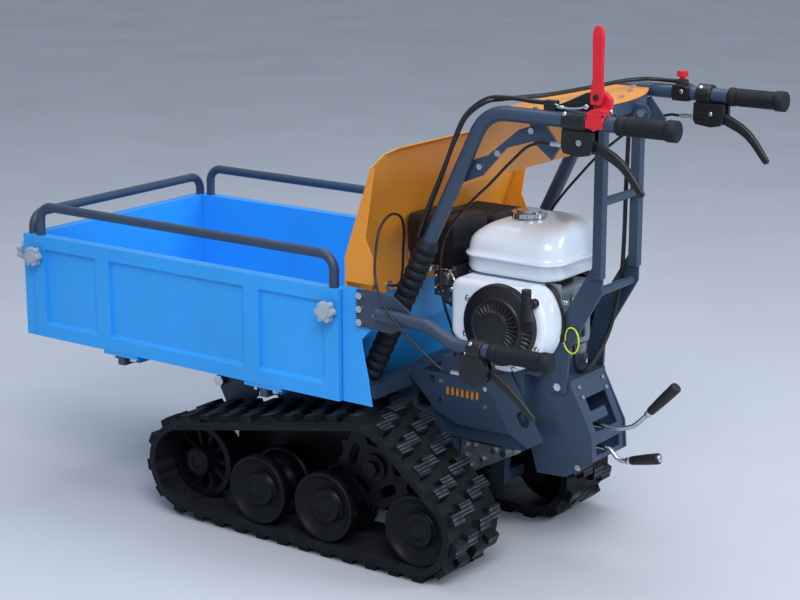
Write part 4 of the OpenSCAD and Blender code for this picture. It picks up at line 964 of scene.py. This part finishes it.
@dataclass
class HandLever:
    """A cast hand lever lofted along its bent centreline.

    Attributes:
        name: The piece's name.
        pivot: Its hinge point.
        line: Centreline points from the pivot, as X, Z, half height and half width.
        node: The CAD node that it replaces, which is also its body.
    """

    name: str
    pivot: Point
    line: Sequence[tuple[float, float, float, float]]
    node: str

    def build(self) -> None:
        """Loft the blade and turn its hub."""
        bm = bmesh.new()
        base = Vector(self.pivot)
        rings = []
        for i, (x, z, tall, wide) in enumerate(self.line):
            a = Vector(self.line[max(i - 1, 0)][:2])
            b = Vector(self.line[min(i + 1, len(self.line) - 1)][:2])
            along = (b - a).normalized()
            up = Vector((-along.y, 0, along.x))
            ring = []
            for t in turns(20):
                c, s = (math.copysign(abs(v) ** 0.7, v) for v in (math.cos(t), math.sin(t)))
                ring.append((base + Vector((x, 0, z)) + Vector((0, wide * c, 0)) + up * tall * s) * MM)
            rings.append(ring)
        loft(bm, rings)
        half = self.line[0][3]
        wide = 2 * half
        hub = [(0, 7), (0.6, 9), (1.5, 10), (wide - 1.5, 10), (wide - 0.6, 9), (wide, 7)]
        lathe(bm, (base + Vector((0, -half, 0))) * MM, Y_AXIS, hub, 28)
        piece(self.name, bm, self.node, NYLON, self.node)


@dataclass
class HandlebarTrim:
    """Grips, hand levers and the red clutch lever of the handlebar and the tip handle.

    Attributes:
        handle_y: Y of the left handle; the right one mirrors it.
        handle_z: Height of the handles.
        handle_end: X of the grips' closed ends.
        brake_x: X of the left and the right brake lever's pivot.
        brake_z: Height of those pivots.
        tip_end: Closed end of the grip on the tip handle.
        tip_pivot: Pivot of the tip lever.
        clutch_pivot: Pivot of the clutch lever.
    """

    handle_y: float = 228.0
    handle_z: float = 982.0
    handle_end: float = -840.0
    brake_x: Pair = (-640.0, -674.0)
    brake_z: float = 944.0
    tip_end: Point = (-634.0, 317.0, 527.0)
    tip_pivot: Point = (-478.0, 317.0, 488.0)
    clutch_pivot: Point = (-667.0, 228.0, 1031.0)

    def build(self) -> None:
        """Make each grip and lever."""
        brake = (
            (2, 0, 9, 6), (-20, -5, 11, 6), (-42, -14, 11.5, 6), (-66, -25, 10.5, 6), (-84, -37, 9.6, 6),
            (-100, -53, 8.5, 6), (-114, -71, 8, 5.6), (-124, -84, 7.5, 5.6), (-128, -89, 6.6, 5.2),
            (-130, -91.5, 3.5, 3.2),
        )
        tip = (
            (2, 0, 8.5, 5), (-18, -5, 9, 5), (-38, -17, 9, 5), (-62, -34, 8.5, 5), (-84, -51, 8, 5),
            (-102, -68, 7.5, 5), (-114, -79, 6.5, 4.6), (-118, -82, 3.5, 3),
        )
        for side, y, x in zip(("left", "right"), (self.handle_y, -self.handle_y), self.brake_x):
            end = (self.handle_end, y, self.handle_z)
            RubberGrip(f"grip_{side}", end, 126, 19.5, "chassis", "handle_grips").build()
            HandLever(f"brake_blade_{side}", (x, y, self.brake_z), brake, f"brake_lever_{side}").build()
        RubberGrip("grip_tip", self.tip_end, 140, 18.5, "bed", "tip_grip").build()
        HandLever("tip_blade", self.tip_pivot, tip, "tip_lever").build()
        self.clutch()

    def clutch(self) -> None:
        """Fold the red clutch lever as a channel with a rounded top."""
        x, y, z = self.clutch_pivot
        rows = (
            (-14, -9, 12, 5), (0, -13, 13, 5), (18, -12.5, 12, 5), (36, -11, 9, 5), (70, -11, 9.5, 5),
            (104, -11.5, 10.5, 5), (120, -11, 10, 5), (128, -9, 8, 4.6), (132, -6, 5.5, 4),
            (134, -2.5, 3, 2.5),
        )
        rings = []
        for up, back, front, half in rows:
            web = back + 2.6
            wall = 1.8 if half > 4.2 else half * 0.4
            near = [
                (back, -half + 0.8), (back + 0.8, -half), (front - 0.6, -half), (front, -half + 0.5),
                (front, -half + wall), (web + 0.6, -half + wall), (web, -half + wall + 0.6),
            ]
            outline = [*near, *((a, -b) for a, b in reversed(near))]
            rings.append([mm(x + a, y + b, z + up) for a, b in outline])
        bm = bmesh.new()
        loft(bm, rings)
        piece("clutch_blade", bm, "clutch_lever", RED, "clutch_lever", bevel_mm=0.5)


@dataclass
class TrackWheels:
    """Dished road rollers and the ringed hubs of the idlers.

    Attributes:
        places: X of the rollers, front to rear.
        height: Z of their axles.
        inner: Y of the flange next to the beam.
        outer: Y of the wheel's face.
        rim: Radius of the rollers.
        web: Radius where the flanges start.
        hub: Radius of the hub between the flanges.
        idler: X and Z of the idler's axle, and Y of its hub's face.
    """

    places: tuple[float, float, float] = (119.0, -64.0, -306.0)
    height: float = 109.0
    inner: float = 205.0
    outer: float = 308.0
    rim: float = 77.0
    web: float = 66.0
    hub: float = 28.0
    idler: Point = (322.0, 124.0, 273.0)

    def profile(self) -> list[Pair]:
        """Draw half a roller's section, from the axle's bore round to the cap.

        Returns:
            Pairs of distance from the inner flange and radius.
        """
        rim, web, hub = self.rim, self.web, self.hub
        wide = self.outer - self.inner
        flange = [
            (0, 10.5), (0, hub), (7, hub), (7, web), (0, web), (0, rim), (18, rim), (18, web), (12, web),
            (12, hub),
        ]
        dish = [
            (24, hub), (24, rim), (2, rim), (0, rim - 1.6), (0, rim - 4.4), (2.4, 69), (5, 67), (19, 41),
            (19, 38), (9, 37), (7, 35), (7, 30), (9.4, 28), (9.4, 21), (7, 19), (6, 17), (6, 0.5),
        ]
        return [*flange, *((wide - deep, r) for deep, r in dish)]

    def build(self) -> None:
        """Turn all six rollers and both hub caps."""
        cap = [(-1, 30), (1, 30), (2.4, 28), (2.4, 23), (0.6, 21), (0.6, 13), (3, 11), (3.6, 9), (3.6, 0.5)]
        for side, sign in (("left", 1), ("right", -1)):
            way = Y_AXIS * sign
            for k, x in enumerate(self.places, 1):
                bm = bmesh.new()
                lathe(bm, mm(x, sign * self.inner, self.height), way, self.profile(), 96)
                node = f"roller_{side}_{k}"
                piece(f"{node}_wheel", bm, node, BLACK, node)
            x, z, face = self.idler
            hub = bmesh.new()
            lathe(hub, mm(x, sign * face, z), way, cap, 64)
            piece(f"idler_{side}_cap", hub, f"idler_{side}", BLACK)


@dataclass
class ControlBodies:
    """Moulded clamps and housings of the brake levers, clutch lever, stop switch and tip lever.

    Attributes:
        handle_y: Y of the left handle; the right one mirrors it.
        handle_z: Height of the handles.
        handle_r: Bore of the clamps on the handles.
        tip_y: Y of the tip handle.
        tip_z: Height of the tip handle.
        tip_r: Bore of the clamp on the tip handle.
        brake_gap: Half the slot that a brake lever swings in.
        tip_gap: Half the slot that the tip lever swings in.
        half: Half the width of the brake and tip housings.
    """

    handle_y: float = 228.0
    handle_z: float = 982.0
    handle_r: float = 15.1
    tip_y: float = 317.0
    tip_z: float = 527.0
    tip_r: float = 14.1
    brake_gap: float = 6.9
    tip_gap: float = 5.8
    half: float = 17.0

    def build(self) -> None:
        """Make every housing and its screws."""
        self.brakes()
        self.clutch_base()
        self.stop_switch()
        self.tip_housing()
        self.screws()

    def collar(self, bm: Shape, axis: Pair, span: Pair, r: float, bore: float) -> None:
        """Add a clamp ring round a tube along X.

        Args:
            bm: The shape to add to.
            axis: Y and Z of the tube.
            span: Where the ring starts and ends along X.
            r: Its outer radius.
            bore: Its inner radius.
        """
        long = span[1] - span[0]
        profile = [(0, bore), (0, r - 1.5), (1.5, r), (long - 1.5, r), (long, r - 1.5), (long, bore)]
        lathe(bm, mm(span[0], *axis), X_AXIS, profile, 48)

    def brakes(self) -> None:
        """Both brake clamps, each with two cheeks round the lever and a grooved front."""
        cheek = [(-600, 966), (-599, 931), (-605, 921), (-640, 917), (-661, 921), (-668, 934), (-668, 966)]
        core = [(-600, 966), (-599, 931), (-605, 921), (-621, 919), (-621, 966)]
        gap, half = self.brake_gap, self.half
        bm = bmesh.new()
        for side, shift, ring in ((1, 0.0, (-652, -600)), (-1, -40.0, (-676, -644))):
            y = side * self.handle_y
            self.collar(bm, (y, self.handle_z), ring, 21.5, self.handle_r)
            prism(bm, cheek, y - half, y - gap, shift)
            prism(bm, cheek, y + gap, y + half, shift)
            prism(bm, core, y - gap, y + gap, shift)
            for z in (924.0, 933.0, 942.0):
                bar = [(-633, z), (-612, z), (-612, z + 4), (-633, z + 4)]
                prism(bm, bar, y + 16.5, y + 18.4, shift)
        piece("brake_housings", bm, "chassis", NYLON, "control_housings", bevel_mm=2.2)

    def clutch_base(self) -> None:
        """Red saddle of the clutch lever, with its black cable guard and the bright clevis wire."""
        y = self.handle_y
        seat = [(-690, 999), (-652, 999), (-652, 1002), (-664, 1009), (-680, 1013), (-690, 1008)]
        ear = [(-690, 999), (-652, 999), (-652, 1030), (-662, 1041), (-676, 1040), (-690, 1028)]
        flap = [(-687, 1002), (-654, 1002), (-660, 975), (-670, 968), (-678, 973)]
        bm = bmesh.new()
        prism(bm, seat, y - 22, y + 17)
        prism(bm, ear, y - 22, y - 9)
        prism(bm, flap, y + 13.5, y + 19)
        arc_block(bm, (y, self.handle_z), (-690, -652), (self.handle_r, 19.5), (-30, 200))
        piece("clutch_saddle", bm, "chassis", RED, "control_housings", bevel_mm=1.2)
        wedge = [(-651, 990), (-651, 1037), (-638, 1036), (-600, 1018), (-572, 1006), (-566, 990)]
        block = [(-577, 992), (-550, 992), (-550, 1016), (-577, 1016)]
        guard = bmesh.new()
        prism(guard, wedge, y - 22, y - 8)
        prism(guard, block, y - 14, y + 2)
        piece("clutch_guard", guard, "chassis", NYLON, "control_housings", bevel_mm=1.6)
        route = (
            (-650, 240, 1013), (-636, 240, 1009), (-612, 238, 1006), (-590, 234, 1007), (-574, 228, 1010),
            (-552, 222, 1010),
        )
        wire = bmesh.new()
        tube(wire, smooth_route(route, 6), 2.2)
        lathe(wire, mm(-651, 237, 1013), Y_AXIS, [(0, 4), (0.6, 4.8), (5.4, 4.8), (6, 4)], 20)
        sleeve = [(0, 2.4), (1, 3.4), (16, 3.4), (17, 2.4)]
        lathe(wire, mm(-600, 236, 1006.4), Vector((1, -0.1, 0)).normalized(), sleeve, 16)
        piece("clutch_link", wire, "chassis", ZINC, "control_housings")

    def stop_switch(self) -> None:
        """Black clamp block of the stop button, with the guide that the button slides in."""
        y = -self.handle_y
        block = [(-628, 966), (-590, 966), (-588, 990), (-591, 999.5), (-614, 999.5), (-628, 994)]
        guide = [(0, 6.5), (0, 14), (9, 13), (11, 11.5), (11, 6.5), (0, 6.5)]
        bm = bmesh.new()
        prism(bm, block, y - 19, y + 19)
        lathe(bm, mm(-604, y, 998), Z_AXIS, guide, 36, False)
        piece("stop_switch", bm, "chassis", NYLON, "control_housings", bevel_mm=2.0)

    def tip_housing(self) -> None:
        """Round-backed housing of the tip lever, with its clamp on the tip handle."""
        y, gap, half = self.tip_y, self.tip_gap, self.half
        back = [polar((-464, 486), 31, math.radians(a)) for a in range(-75, -265, -10)]
        cheek = [(-430, 515), (-430, 463), *back]
        core = [
            (-430, 515), (-430, 463), (-456, 456.2), (-463.8, 455.4), (-463.8, 502.4), (-488, 502.4),
            (-470, 516),
        ]
        bm = bmesh.new()
        prism(bm, cheek, y - half, y - gap)
        prism(bm, cheek, y + gap, y + half)
        prism(bm, core, y - gap, y + gap)
        self.collar(bm, (y, self.tip_z), (-478, -446), 19.5, self.tip_r)
        piece("tip_lever_case", bm, "bed", NYLON, "tip_housing", bevel_mm=2.6)

    def screws(self) -> None:
        """Bright screw heads on the clamps, and the black one in the clutch lever."""
        head = [(-1, 4.6), (1.4, 4.6), (2.2, 3.6), (2.4, 2)]
        heads = (
            ((-612, -209, 986), (0, 1, 0)),
            ((-680, -211, 945), (0, 1, 0)),
            ((-655, -213.5, 998), (0, 0.67, 0.74)),
            ((-690, 214, 1004), (-1, 0, 0)),
            ((-606, 244, 996), (0, 0.75, 0.66)),
        )
        bm = bmesh.new()
        for place, way in heads:
            lathe(bm, mm(*place), Vector(way).normalized(), head, 20)
        piece("clamp_screws", bm, "chassis", ZINC)
        tip = bmesh.new()
        lathe(tip, mm(-455, 331.5, 540.5), Vector((0, 0.73, 0.68)).normalized(), head, 20)
        lathe(tip, mm(-441, 326, 517), Vector((0.6, 0.6, 0.4)).normalized(), [(-4, 4), (3, 4), (4, 3)], 16)
        piece("tip_clamp_screws", tip, "bed", ZINC)
        hub = bmesh.new()
        lathe(hub, mm(-667, 232.6, 1031), Y_AXIS, [(0, 6.4), (2.4, 6.4), (3, 5.4), (3.2, 2)], 6)
        piece("clutch_screw", hub, "clutch_lever", NYLON)


@dataclass
class GearLever:
    """A bent gear lever with a ferrule and a moulded knob.

    Attributes:
        node: The CAD node that it replaces, which is also its body.
        rod: X and Z of the rod's centreline, from the pin outwards.
        tip: X and Z of the knob's end.
        capped: Whether the knob ends in a bright cap.
        plane: Y of the lever.
    """

    node: str
    rod: Sequence[Pair]
    tip: Pair
    capped: bool = False
    plane: float = 14.0

    def build(self) -> None:
        """Sweep the rod and turn the knob round its end."""
        route = [(x, self.plane, z) for x, z in self.rod]
        steel = bmesh.new()
        tube(steel, smooth_route(route, 6), 5.0, 20)
        lathe(steel, mm(*route[0]), Z_AXIS, [(-9, 5.2), (-9, 10), (9, 10), (9, 5.2), (-9, 5.2)], 32, False)
        end = mm(*route[-1])
        way = mm(self.tip[0], self.plane, self.tip[1]) - end
        long = way.length / MM
        way.normalize()
        lathe(steel, end, way, [(-8, 5.4), (-7, 7), (-2, 7.4), (4, 7.4), (5, 6)], 28)
        if self.capped:
            lathe(steel, end, way, [(long - 4, 8), (long + 0.6, 8), (long + 1.4, 6.8), (long + 1.6, 1)], 28)
        piece(f"{self.node}_rod", steel, self.node, ZINC, self.node)
        knob = [
            (3, 6), (4, 8.4), (7, 9.2), (long * 0.55, 11.2), (long - 6, 12), (long - 1.5, 11), (long, 8.4),
        ]
        grip = bmesh.new()
        lathe(grip, end, way, knob, 32)
        piece(f"{self.node}_knob", grip, self.node, NYLON, self.node)


SPEED_LEVER = GearLever(
    "gear_lever_speed",
    (
        (-452, 316), (-500, 314), (-550, 312.5), (-605, 313), (-638, 321), (-655, 332), (-670, 347),
        (-682, 360),
    ),
    (-744, 427),
)
REVERSE_LEVER = GearLever(
    "gear_lever_reverse",
    (
        (-452, 268), (-540, 267), (-588, 265.5), (-601, 259), (-611, 250), (-621, 246), (-631, 246.5),
        (-640, 249),
    ),
    (-711, 268),
    capped=True,
)


@dataclass
class EngineTrim:
    """Small engine pieces seen between tank, air cleaner and fan cover.

    Attributes:
        crank: Centre of the crankshaft in X and Z.
        screw_circle: Radius that the fan cover's screws lie on.
        cover_y: Face that they sit on.
        wall_x: Rear wall of the crankcase.
        rib_x: How far back its ribs reach.
        hose_y: Plane of the breather hose.
    """

    crank: Pair = (-409.0, 533.0)
    screw_circle: float = 94.0
    cover_y: float = 148.5
    wall_x: float = -473.0
    rib_x: float = -480.0
    hose_y: float = 82.0

    def build(self) -> None:
        """Make the screws, carburettor details, crankcase trim, switch and plug."""
        self.screws()
        self.carburettor()
        self.crankcase()
        self.switch()
        self.plug()

    def screws(self) -> None:
        """Flanged screws round the fan cover and the starter."""
        bm = bmesh.new()
        for degrees in (205, 250, 295, 340, 28):
            x, z = polar(self.crank, self.screw_circle, math.radians(degrees))
            lathe(bm, mm(x, self.cover_y - 0.5, z), Y_AXIS, [(0, 7), (1.6, 7), (2.2, 6)], 24)
            lathe(bm, mm(x, self.cover_y + 1, z), Y_AXIS, [(0, 4.6), (4, 4.6), (4.6, 4)], 6)
        piece("cover_screws", bm, "chassis", ZINC)

    def carburettor(self) -> None:
        """Bowl, throttle plate and linkage in front of the cylinder."""
        bowl = [(0, 21), (3, 22), (14, 21), (20, 17), (23, 9), (25, 5), (29, 5)]
        bm = bmesh.new()
        lathe(bm, mm(-234, 72, 558), -Z_AXIS, bowl, 32)
        lathe(bm, mm(-234, 97, 596), Y_AXIS, [(0, 19), (5, 19), (6, 17), (12, 16), (13, 12)], 32)
        piece("carburettor_bowl", bm, "chassis", DIE_CAST)
        nut = [(0, 6.5), (3, 6.5), (3.4, 5), (7, 5), (7.6, 4)]
        nuts = ((-222, 101, 622), (-246, 101, 606), (-214, 101, 598), (-228, 101, 566), (-250, 96, 574))
        lever = bmesh.new()
        lathe(lever, mm(-252, 92, 616), Y_AXIS, [(0, 4), (18, 4), (19, 3)], 16)
        lathe(lever, mm(-252, 106, 616), Vector((-0.5, 0, -0.86)), [(0, 3.4), (34, 2.6), (35, 2)], 12)
        lathe(lever, mm(-216, 92, 576), Y_AXIS, [(0, 3.6), (20, 3.6), (21, 3)], 16)
        lathe(lever, mm(-216, 108, 576), Vector((-0.8, 0, 0.6)), [(0, 2), (42, 2), (42.5, 1.6)], 10)
        for place in nuts:
            lathe(lever, mm(*place), Y_AXIS, nut, 6)
        rod = Vector((-0.98, 0.1, 0.16)).normalized()
        lathe(lever, mm(-206, 104, 612), rod, [(0, 3), (40, 3), (41, 2.4)], 10)
        piece("throttle_link", lever, "chassis", ZINC)

    def crankcase(self) -> None:
        """Cast ribs and bolts on the crankcase's rear wall, and the black breather hose beside it."""
        wall, rib, y = self.wall_x, self.rib_x, self.hose_y
        bm = bmesh.new()
        for left in (-72, -24, 24, 58):
            prism(bm, [(wall, 468), (rib, 474), (rib, 560), (wall, 572)], left, left + 6)
        prism(bm, [(wall, 508), (rib - 2, 511), (rib - 2, 520), (wall, 524)], -84, 70)
        piece("crankcase_ribs", bm, "chassis", CAST)
        bolt = [(-1, 7), (3, 7), (3.4, 5.6), (9, 5.6), (9.6, 4.6)]
        bolts = bmesh.new()
        for place in ((45, 556), (45, 536), (8, 560), (8, 486), (-40, 548), (-40, 490), (64, 482)):
            lathe(bolts, mm(wall + 1, *place), -X_AXIS, bolt, 6)
        piece("crankcase_bolts", bolts, "chassis", ZINC)
        route = (
            (-470, y, 612), (-488, y, 605), (-498, y, 593), (-507, y, 576), (-514, y, 555), (-516, y, 533),
            (-514, y, 514), (-506, y - 6, 498),
        )
        hose = bmesh.new()
        tube(hose, smooth_route(route, 6), 3.6)
        piece("breather_hose", hose, "chassis", SHEATH)

    def switch(self) -> None:
        """A plain round switch bezel on the fan cover's rear edge."""
        bm = bmesh.new()
        way = Vector((-0.7, 0.5, -0.5)).normalized()
        lathe(bm, mm(-498, 128, 470), way, [(0, 13), (3, 13), (4, 11.5)], 28)
        piece("switch_bezel", bm, "chassis", NYLON)

    def plug(self) -> None:
        """Spark plug cap on the cylinder head."""
        bm = bmesh.new()
        way = Vector((0.9, 0.1, 0.43)).normalized()
        lathe(bm, mm(-236, 20, 566), way, [(0, 8), (2, 10.5), (22, 10), (26, 8), (34, 7.5), (36, 5)], 24)
        piece("plug_cap", bm, "chassis", NYLON)


@dataclass(frozen=True)
class Zone:
    """A box that picks faces of a CAD node.

    Attributes:
        lo: Its low corner.
        hi: Its high corner.
    """

    lo: Point
    hi: Point

    def holds(self, p: Vector) -> bool:
        """Whether a point in metres lies in the box."""
        return all(a * MM <= v <= b * MM for a, v, b in zip(self.lo, p, self.hi))


@dataclass
class LoopShape:
    """The inside of a track, to tell lug crowns from the belt.

    Attributes:
        circles: X, Z and radius of the wheels that the belt runs round.
        crown_from: Faces further out than this are crowns.
        dots: Points of the loop's outline in X and Z.
    """

    circles: Sequence[Point] = ((-306, 109, 77), (119, 109, 77), (322, 124, 85), (-162, 204, 96))
    crown_from: float = 31.0
    dots: list[Pair] = field(default_factory=list)

    def __post_init__(self) -> None:
        """Sample the loop's outline."""
        for (x0, z0, r0), (x1, z1, r1) in zip(self.circles, (*self.circles[1:], self.circles[0])):
            run = math.hypot(x1 - x0, z1 - z0)
            turn = math.atan2(z1 - z0, x1 - x0) - math.acos((r0 - r1) / run)
            a, b = polar((x0, z0), r0, turn), polar((x1, z1), r1, turn)
            for k in range(61):
                self.dots.append((a[0] + (b[0] - a[0]) * k / 60, a[1] + (b[1] - a[1]) * k / 60))
            self.dots += [polar((x0, z0), r0, t) for t in turns(72)]

    def crown(self, p: Vector) -> bool:
        """Whether a face centre in metres lies on a lug's crown."""
        x, z = p.x / MM, p.z / MM
        return min((x - a) ** 2 + (z - b) ** 2 for a, b in self.dots) > self.crown_from**2


@dataclass(frozen=True)
class SlideParts:
    """Tells the slide bars and clamp bolts under a panel from its sheet.

    Attributes:
        places: Where the bars are.
        axis: 0 when those places are along X, 1 when they are along Y.
        under: Faces below this height belong to bars and bolts.
        bar_half: Half the width of a bar, with a little room.
        bolts: Nearest and furthest distance of a bolt's faces from a bar's middle.
    """

    places: Pair
    axis: int
    under: float = 346.04
    bar_half: float = 10.6
    bolts: Pair = (17.0, 35.0)

    def off(self, p: Vector) -> float:
        """Distance of a point in metres from the nearest bar's middle, in millimetres."""
        return min(abs(p[self.axis] / MM - place) for place in self.places)

    def bar(self, p: Vector) -> bool:
        """Whether a face belongs to a slide bar."""
        return p.z < self.under * MM and self.off(p) < self.bar_half

    def bolt(self, p: Vector) -> bool:
        """Whether a face belongs to a clamp bolt."""
        return p.z < (self.under - 0.02) * MM and self.bolts[0] < self.off(p) < self.bolts[1]


@dataclass
class CadDress:
    """Finish of one CAD node that stays in sight: materials by zone, and softened edges.

    Attributes:
        node: The CAD node.
        finish: Its main material.
        bevel_mm: Width of the rounded edges.
        zones: Other materials with the test that picks their faces.
    """

    node: str
    finish: Finish
    bevel_mm: float
    zones: Sequence[tuple[Finish, Callable[[Vector], bool]]] = ()

    def build(self, frame: dict[str, Any]) -> None:
        """Give the node's object its materials, soft edges and shading.

        Args:
            frame: The loaded frame.
        """
        obj = frame["nodes"][self.node]
        mesh = obj.data
        mesh.materials.clear()
        for finish in [self.finish, *(z[0] for z in self.zones)]:
            mesh.materials.append(finish.build())
        for face in mesh.polygons:
            face.use_smooth = True
            face.material_index = 0
            for k, (_, test) in enumerate(self.zones, 1):
                if test(face.center):
                    face.material_index = k
        soften(obj, self.bevel_mm)
        LOG.info("dressed %s", self.node)


@dataclass
class CadSkins:
    """Materials and soft edges of every CAD node that stays in sight.

    Attributes:
        end_case: The gearbox's bare cast end.
        backing: The coloured plate behind the side cover's slots.
        carburettor: The carburettor's body.
        bracket: The tank's bracket.
        side_slides: X of the slide bars under a side panel.
        front_slides: Y of the slide bars under the front panel.
    """

    end_case: Zone = Zone((-FAR, 70.9, 0), (-270, FAR, 250.4))
    backing: Zone = Zone((-345, 117, 344), (-249, 120.2, 375))
    carburettor: Zone = Zone((-263, 39, 555), (-205, 105, 626))
    bracket: Zone = Zone((-460, -70, 590.5), (-338, 70, 622))
    side_slides: Pair = (515.0, 96.0)
    front_slides: Pair = (200.0, -200.0)

    def rows(self) -> list[CadDress]:
        """List the nodes with their finishes, edge sizes and zones.

        Returns:
            One row for each node.
        """
        crown = LoopShape().crown
        engine = [(DIE_CAST, self.carburettor.holds), (BLACK, self.bracket.holds)]
        rows = [
            CadDress("chassis_frame", SLATE, 1.2),
            CadDress("rear_box", SLATE, 0.8),
            CadDress("side_cover", SLATE, 0.6, [(YELLOW, self.backing.holds)]),
            CadDress("gate_plate", SLATE, 0.6),
            CadDress("gearbox", BLACK, 2.4, [(CAST, self.end_case.holds)]),
            CadDress("belt_guard", BLACK, 1.5),
            CadDress("track_frames", BLACK, 1.0),
            CadDress("handlebar", SLATE, 0.4),
            CadDress("console_frame", SLATE, 1.0),
            CadDress("console", YELLOW, 0.6),
            CadDress("engine_block", CAST, 1.2, engine),
            CadDress("starter_grip", NYLON, 1.6),
            CadDress("fuel_cap", CHROME, 0.8),
            CadDress("air_cleaner", NYLON, 3.0),
            CadDress("muffler", HOT_BLACK, 1.0),
            CadDress("chassis_fasteners", ZINC, 0.5),
            CadDress("bed_tub", BLUE, 0.8),
            CadDress("engine_shield", YELLOW, 0.7),
            CadDress("tip_handle", SLATE, 0.8),
            CadDress("bed_fasteners", ZINC, 0.5),
            CadDress("kill_button", RED, 1.5),
        ]
        for side in ("left", "right"):
            rows.append(CadDress(f"track_{side}", TREAD, 1.6, [(LUG_TOP, crown)]))
            rows.append(CadDress(f"idler_{side}", BLACK, 1.2))
            rows.append(CadDress(f"sprocket_{side}", BLACK, 1.0))
        for side in ("left", "right", "front"):
            slides = SlideParts(self.front_slides, 1) if side == "front" else SlideParts(self.side_slides, 0)
            rows.append(CadDress(f"panel_{side}", BLUE, 1.6, [(SLATE, slides.bar), (ZINC, slides.bolt)]))
            rows.append(CadDress(f"rail_{side}", SLATE, 0.2))
        for place in ("left_rear", "left_front", "right_rear", "right_front", "front_left", "front_right"):
            rows.append(CadDress(f"knob_{place}", GREY, 1.4))
        return rows

    def build(self, frame: dict[str, Any]) -> None:
        """Dress every node in the table."""
        for row in self.rows():
            row.build(frame)


@dataclass
class Studio:
    """Plain pale floor, soft lights and the camera of the photograph.

    Attributes:
        eye_mm: Where the camera stands.
        heading_deg: Its heading, from +X towards +Y.
        down_deg: How far it looks down.
        focal_px: Its focal length in pixels of the photograph.
        width_px: Width of the photograph in pixels.
        sensor_mm: Width of the sensor.
        floor_m: Half the floor's width in metres.
        sky: Colour of the light from all round.
        sky_strength: Its strength.
    """

    eye_mm: Point = (-2506.6, 3387.8, 1567.6)
    heading_deg: float = -53.997
    down_deg: float = 14.311
    focal_px: float = 1954.9
    width_px: int = 800
    sensor_mm: float = 36.0
    floor_m: float = 14.0
    sky: str = "#cfdcf0"
    sky_strength: float = 0.58

    def aim(self, obj: bpy.types.Object, place: Vector, look: Vector) -> None:
        """Put a camera or lamp at a place.

        Args:
            obj: The camera or lamp.
            place: Where it goes, in metres.
            look: The vector that it looks along.
        """
        obj.location = place
        obj.rotation_mode = "QUATERNION"
        obj.rotation_quaternion = look.to_track_quat("-Z", "Y")

    def camera(self) -> None:
        """Place the camera as it was fitted to the photograph."""
        data = bpy.data.cameras.new("camera")
        data.sensor_width = self.sensor_mm
        data.lens = self.sensor_mm * self.focal_px / self.width_px
        data.clip_end = 100.0
        obj = placed("camera", data)
        h, d = math.radians(self.heading_deg), math.radians(self.down_deg)
        look = Vector((math.cos(d) * math.cos(h), math.cos(d) * math.sin(h), -math.sin(d)))
        self.aim(obj, mm(*self.eye_mm), look)
        bpy.context.scene.camera = obj

    def floor(self) -> None:
        """Lay a plain pale floor."""
        bm = bmesh.new()
        bmesh.ops.create_grid(bm, x_segments=2, y_segments=2, size=self.floor_m)
        mesh = bpy.data.meshes.new("floor")
        bm.to_mesh(mesh)
        bm.free()
        mesh.materials.append(CONCRETE.build())
        placed("floor", mesh)

    def lamp(self, name: str, place: Point, target: Point, size: float, watts: float, tint: str) -> None:
        """Hang one round soft box.

        Args:
            name: Its name.
            place: Where it hangs, in metres.
            target: What it points at, in metres.
            size: Its width in metres.
            watts: Its power.
            tint: Its sRGB colour.
        """
        data = bpy.data.lights.new(name, "AREA")
        data.shape = "DISK"
        data.size = size
        data.energy = watts
        data.color = linear(tint)[:3]
        self.aim(placed(name, data), Vector(place), Vector(target) - Vector(place))

    def build(self) -> None:
        """Make camera, floor, sky light and soft boxes."""
        self.camera()
        self.floor()
        world = bpy.data.worlds.new("soft_studio")
        world.use_nodes = True
        back = world.node_tree.nodes["Background"]
        back.inputs["Color"].default_value = linear(self.sky)
        back.inputs["Strength"].default_value = self.sky_strength
        bpy.context.scene.world = world
        self.lamp("key_box", (-2.6, 3.2, 4.2), (0, 0, 0.5), 3.0, 205, "#f8f8ff")
        self.lamp("top_box", (0.3, -0.4, 4.6), (0, 0, 0.4), 3.6, 92, "#eaf2ff")
        self.lamp("rear_box_light", (-4.0, -1.5, 2.4), (-0.3, 0, 0.6), 2.0, 85, "#eaf2ff")
        bpy.context.scene.view_settings.view_transform = "Standard"
        LOG.info("made the studio")


def write_sizes() -> None:
    """Update the view layer.
    """
    bpy.context.view_layer.update()


def main() -> None:
    """Build the scene, sub-assembly by sub-assembly."""
    logging.basicConfig(level=logging.INFO, format="%(name)s: %(message)s")
    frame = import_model()
    Studio().build()
    Cables().build()
    CadSkins().build(frame)
    FuelTank().build()
    FanCover().build()
    HandlebarTrim().build()
    ControlBodies().build()
    TrackWheels().build()
    SPEED_LEVER.build()
    REVERSE_LEVER.build()
    EngineTrim().build()
    write_sizes()


if __name__ == "__main__":
    main()
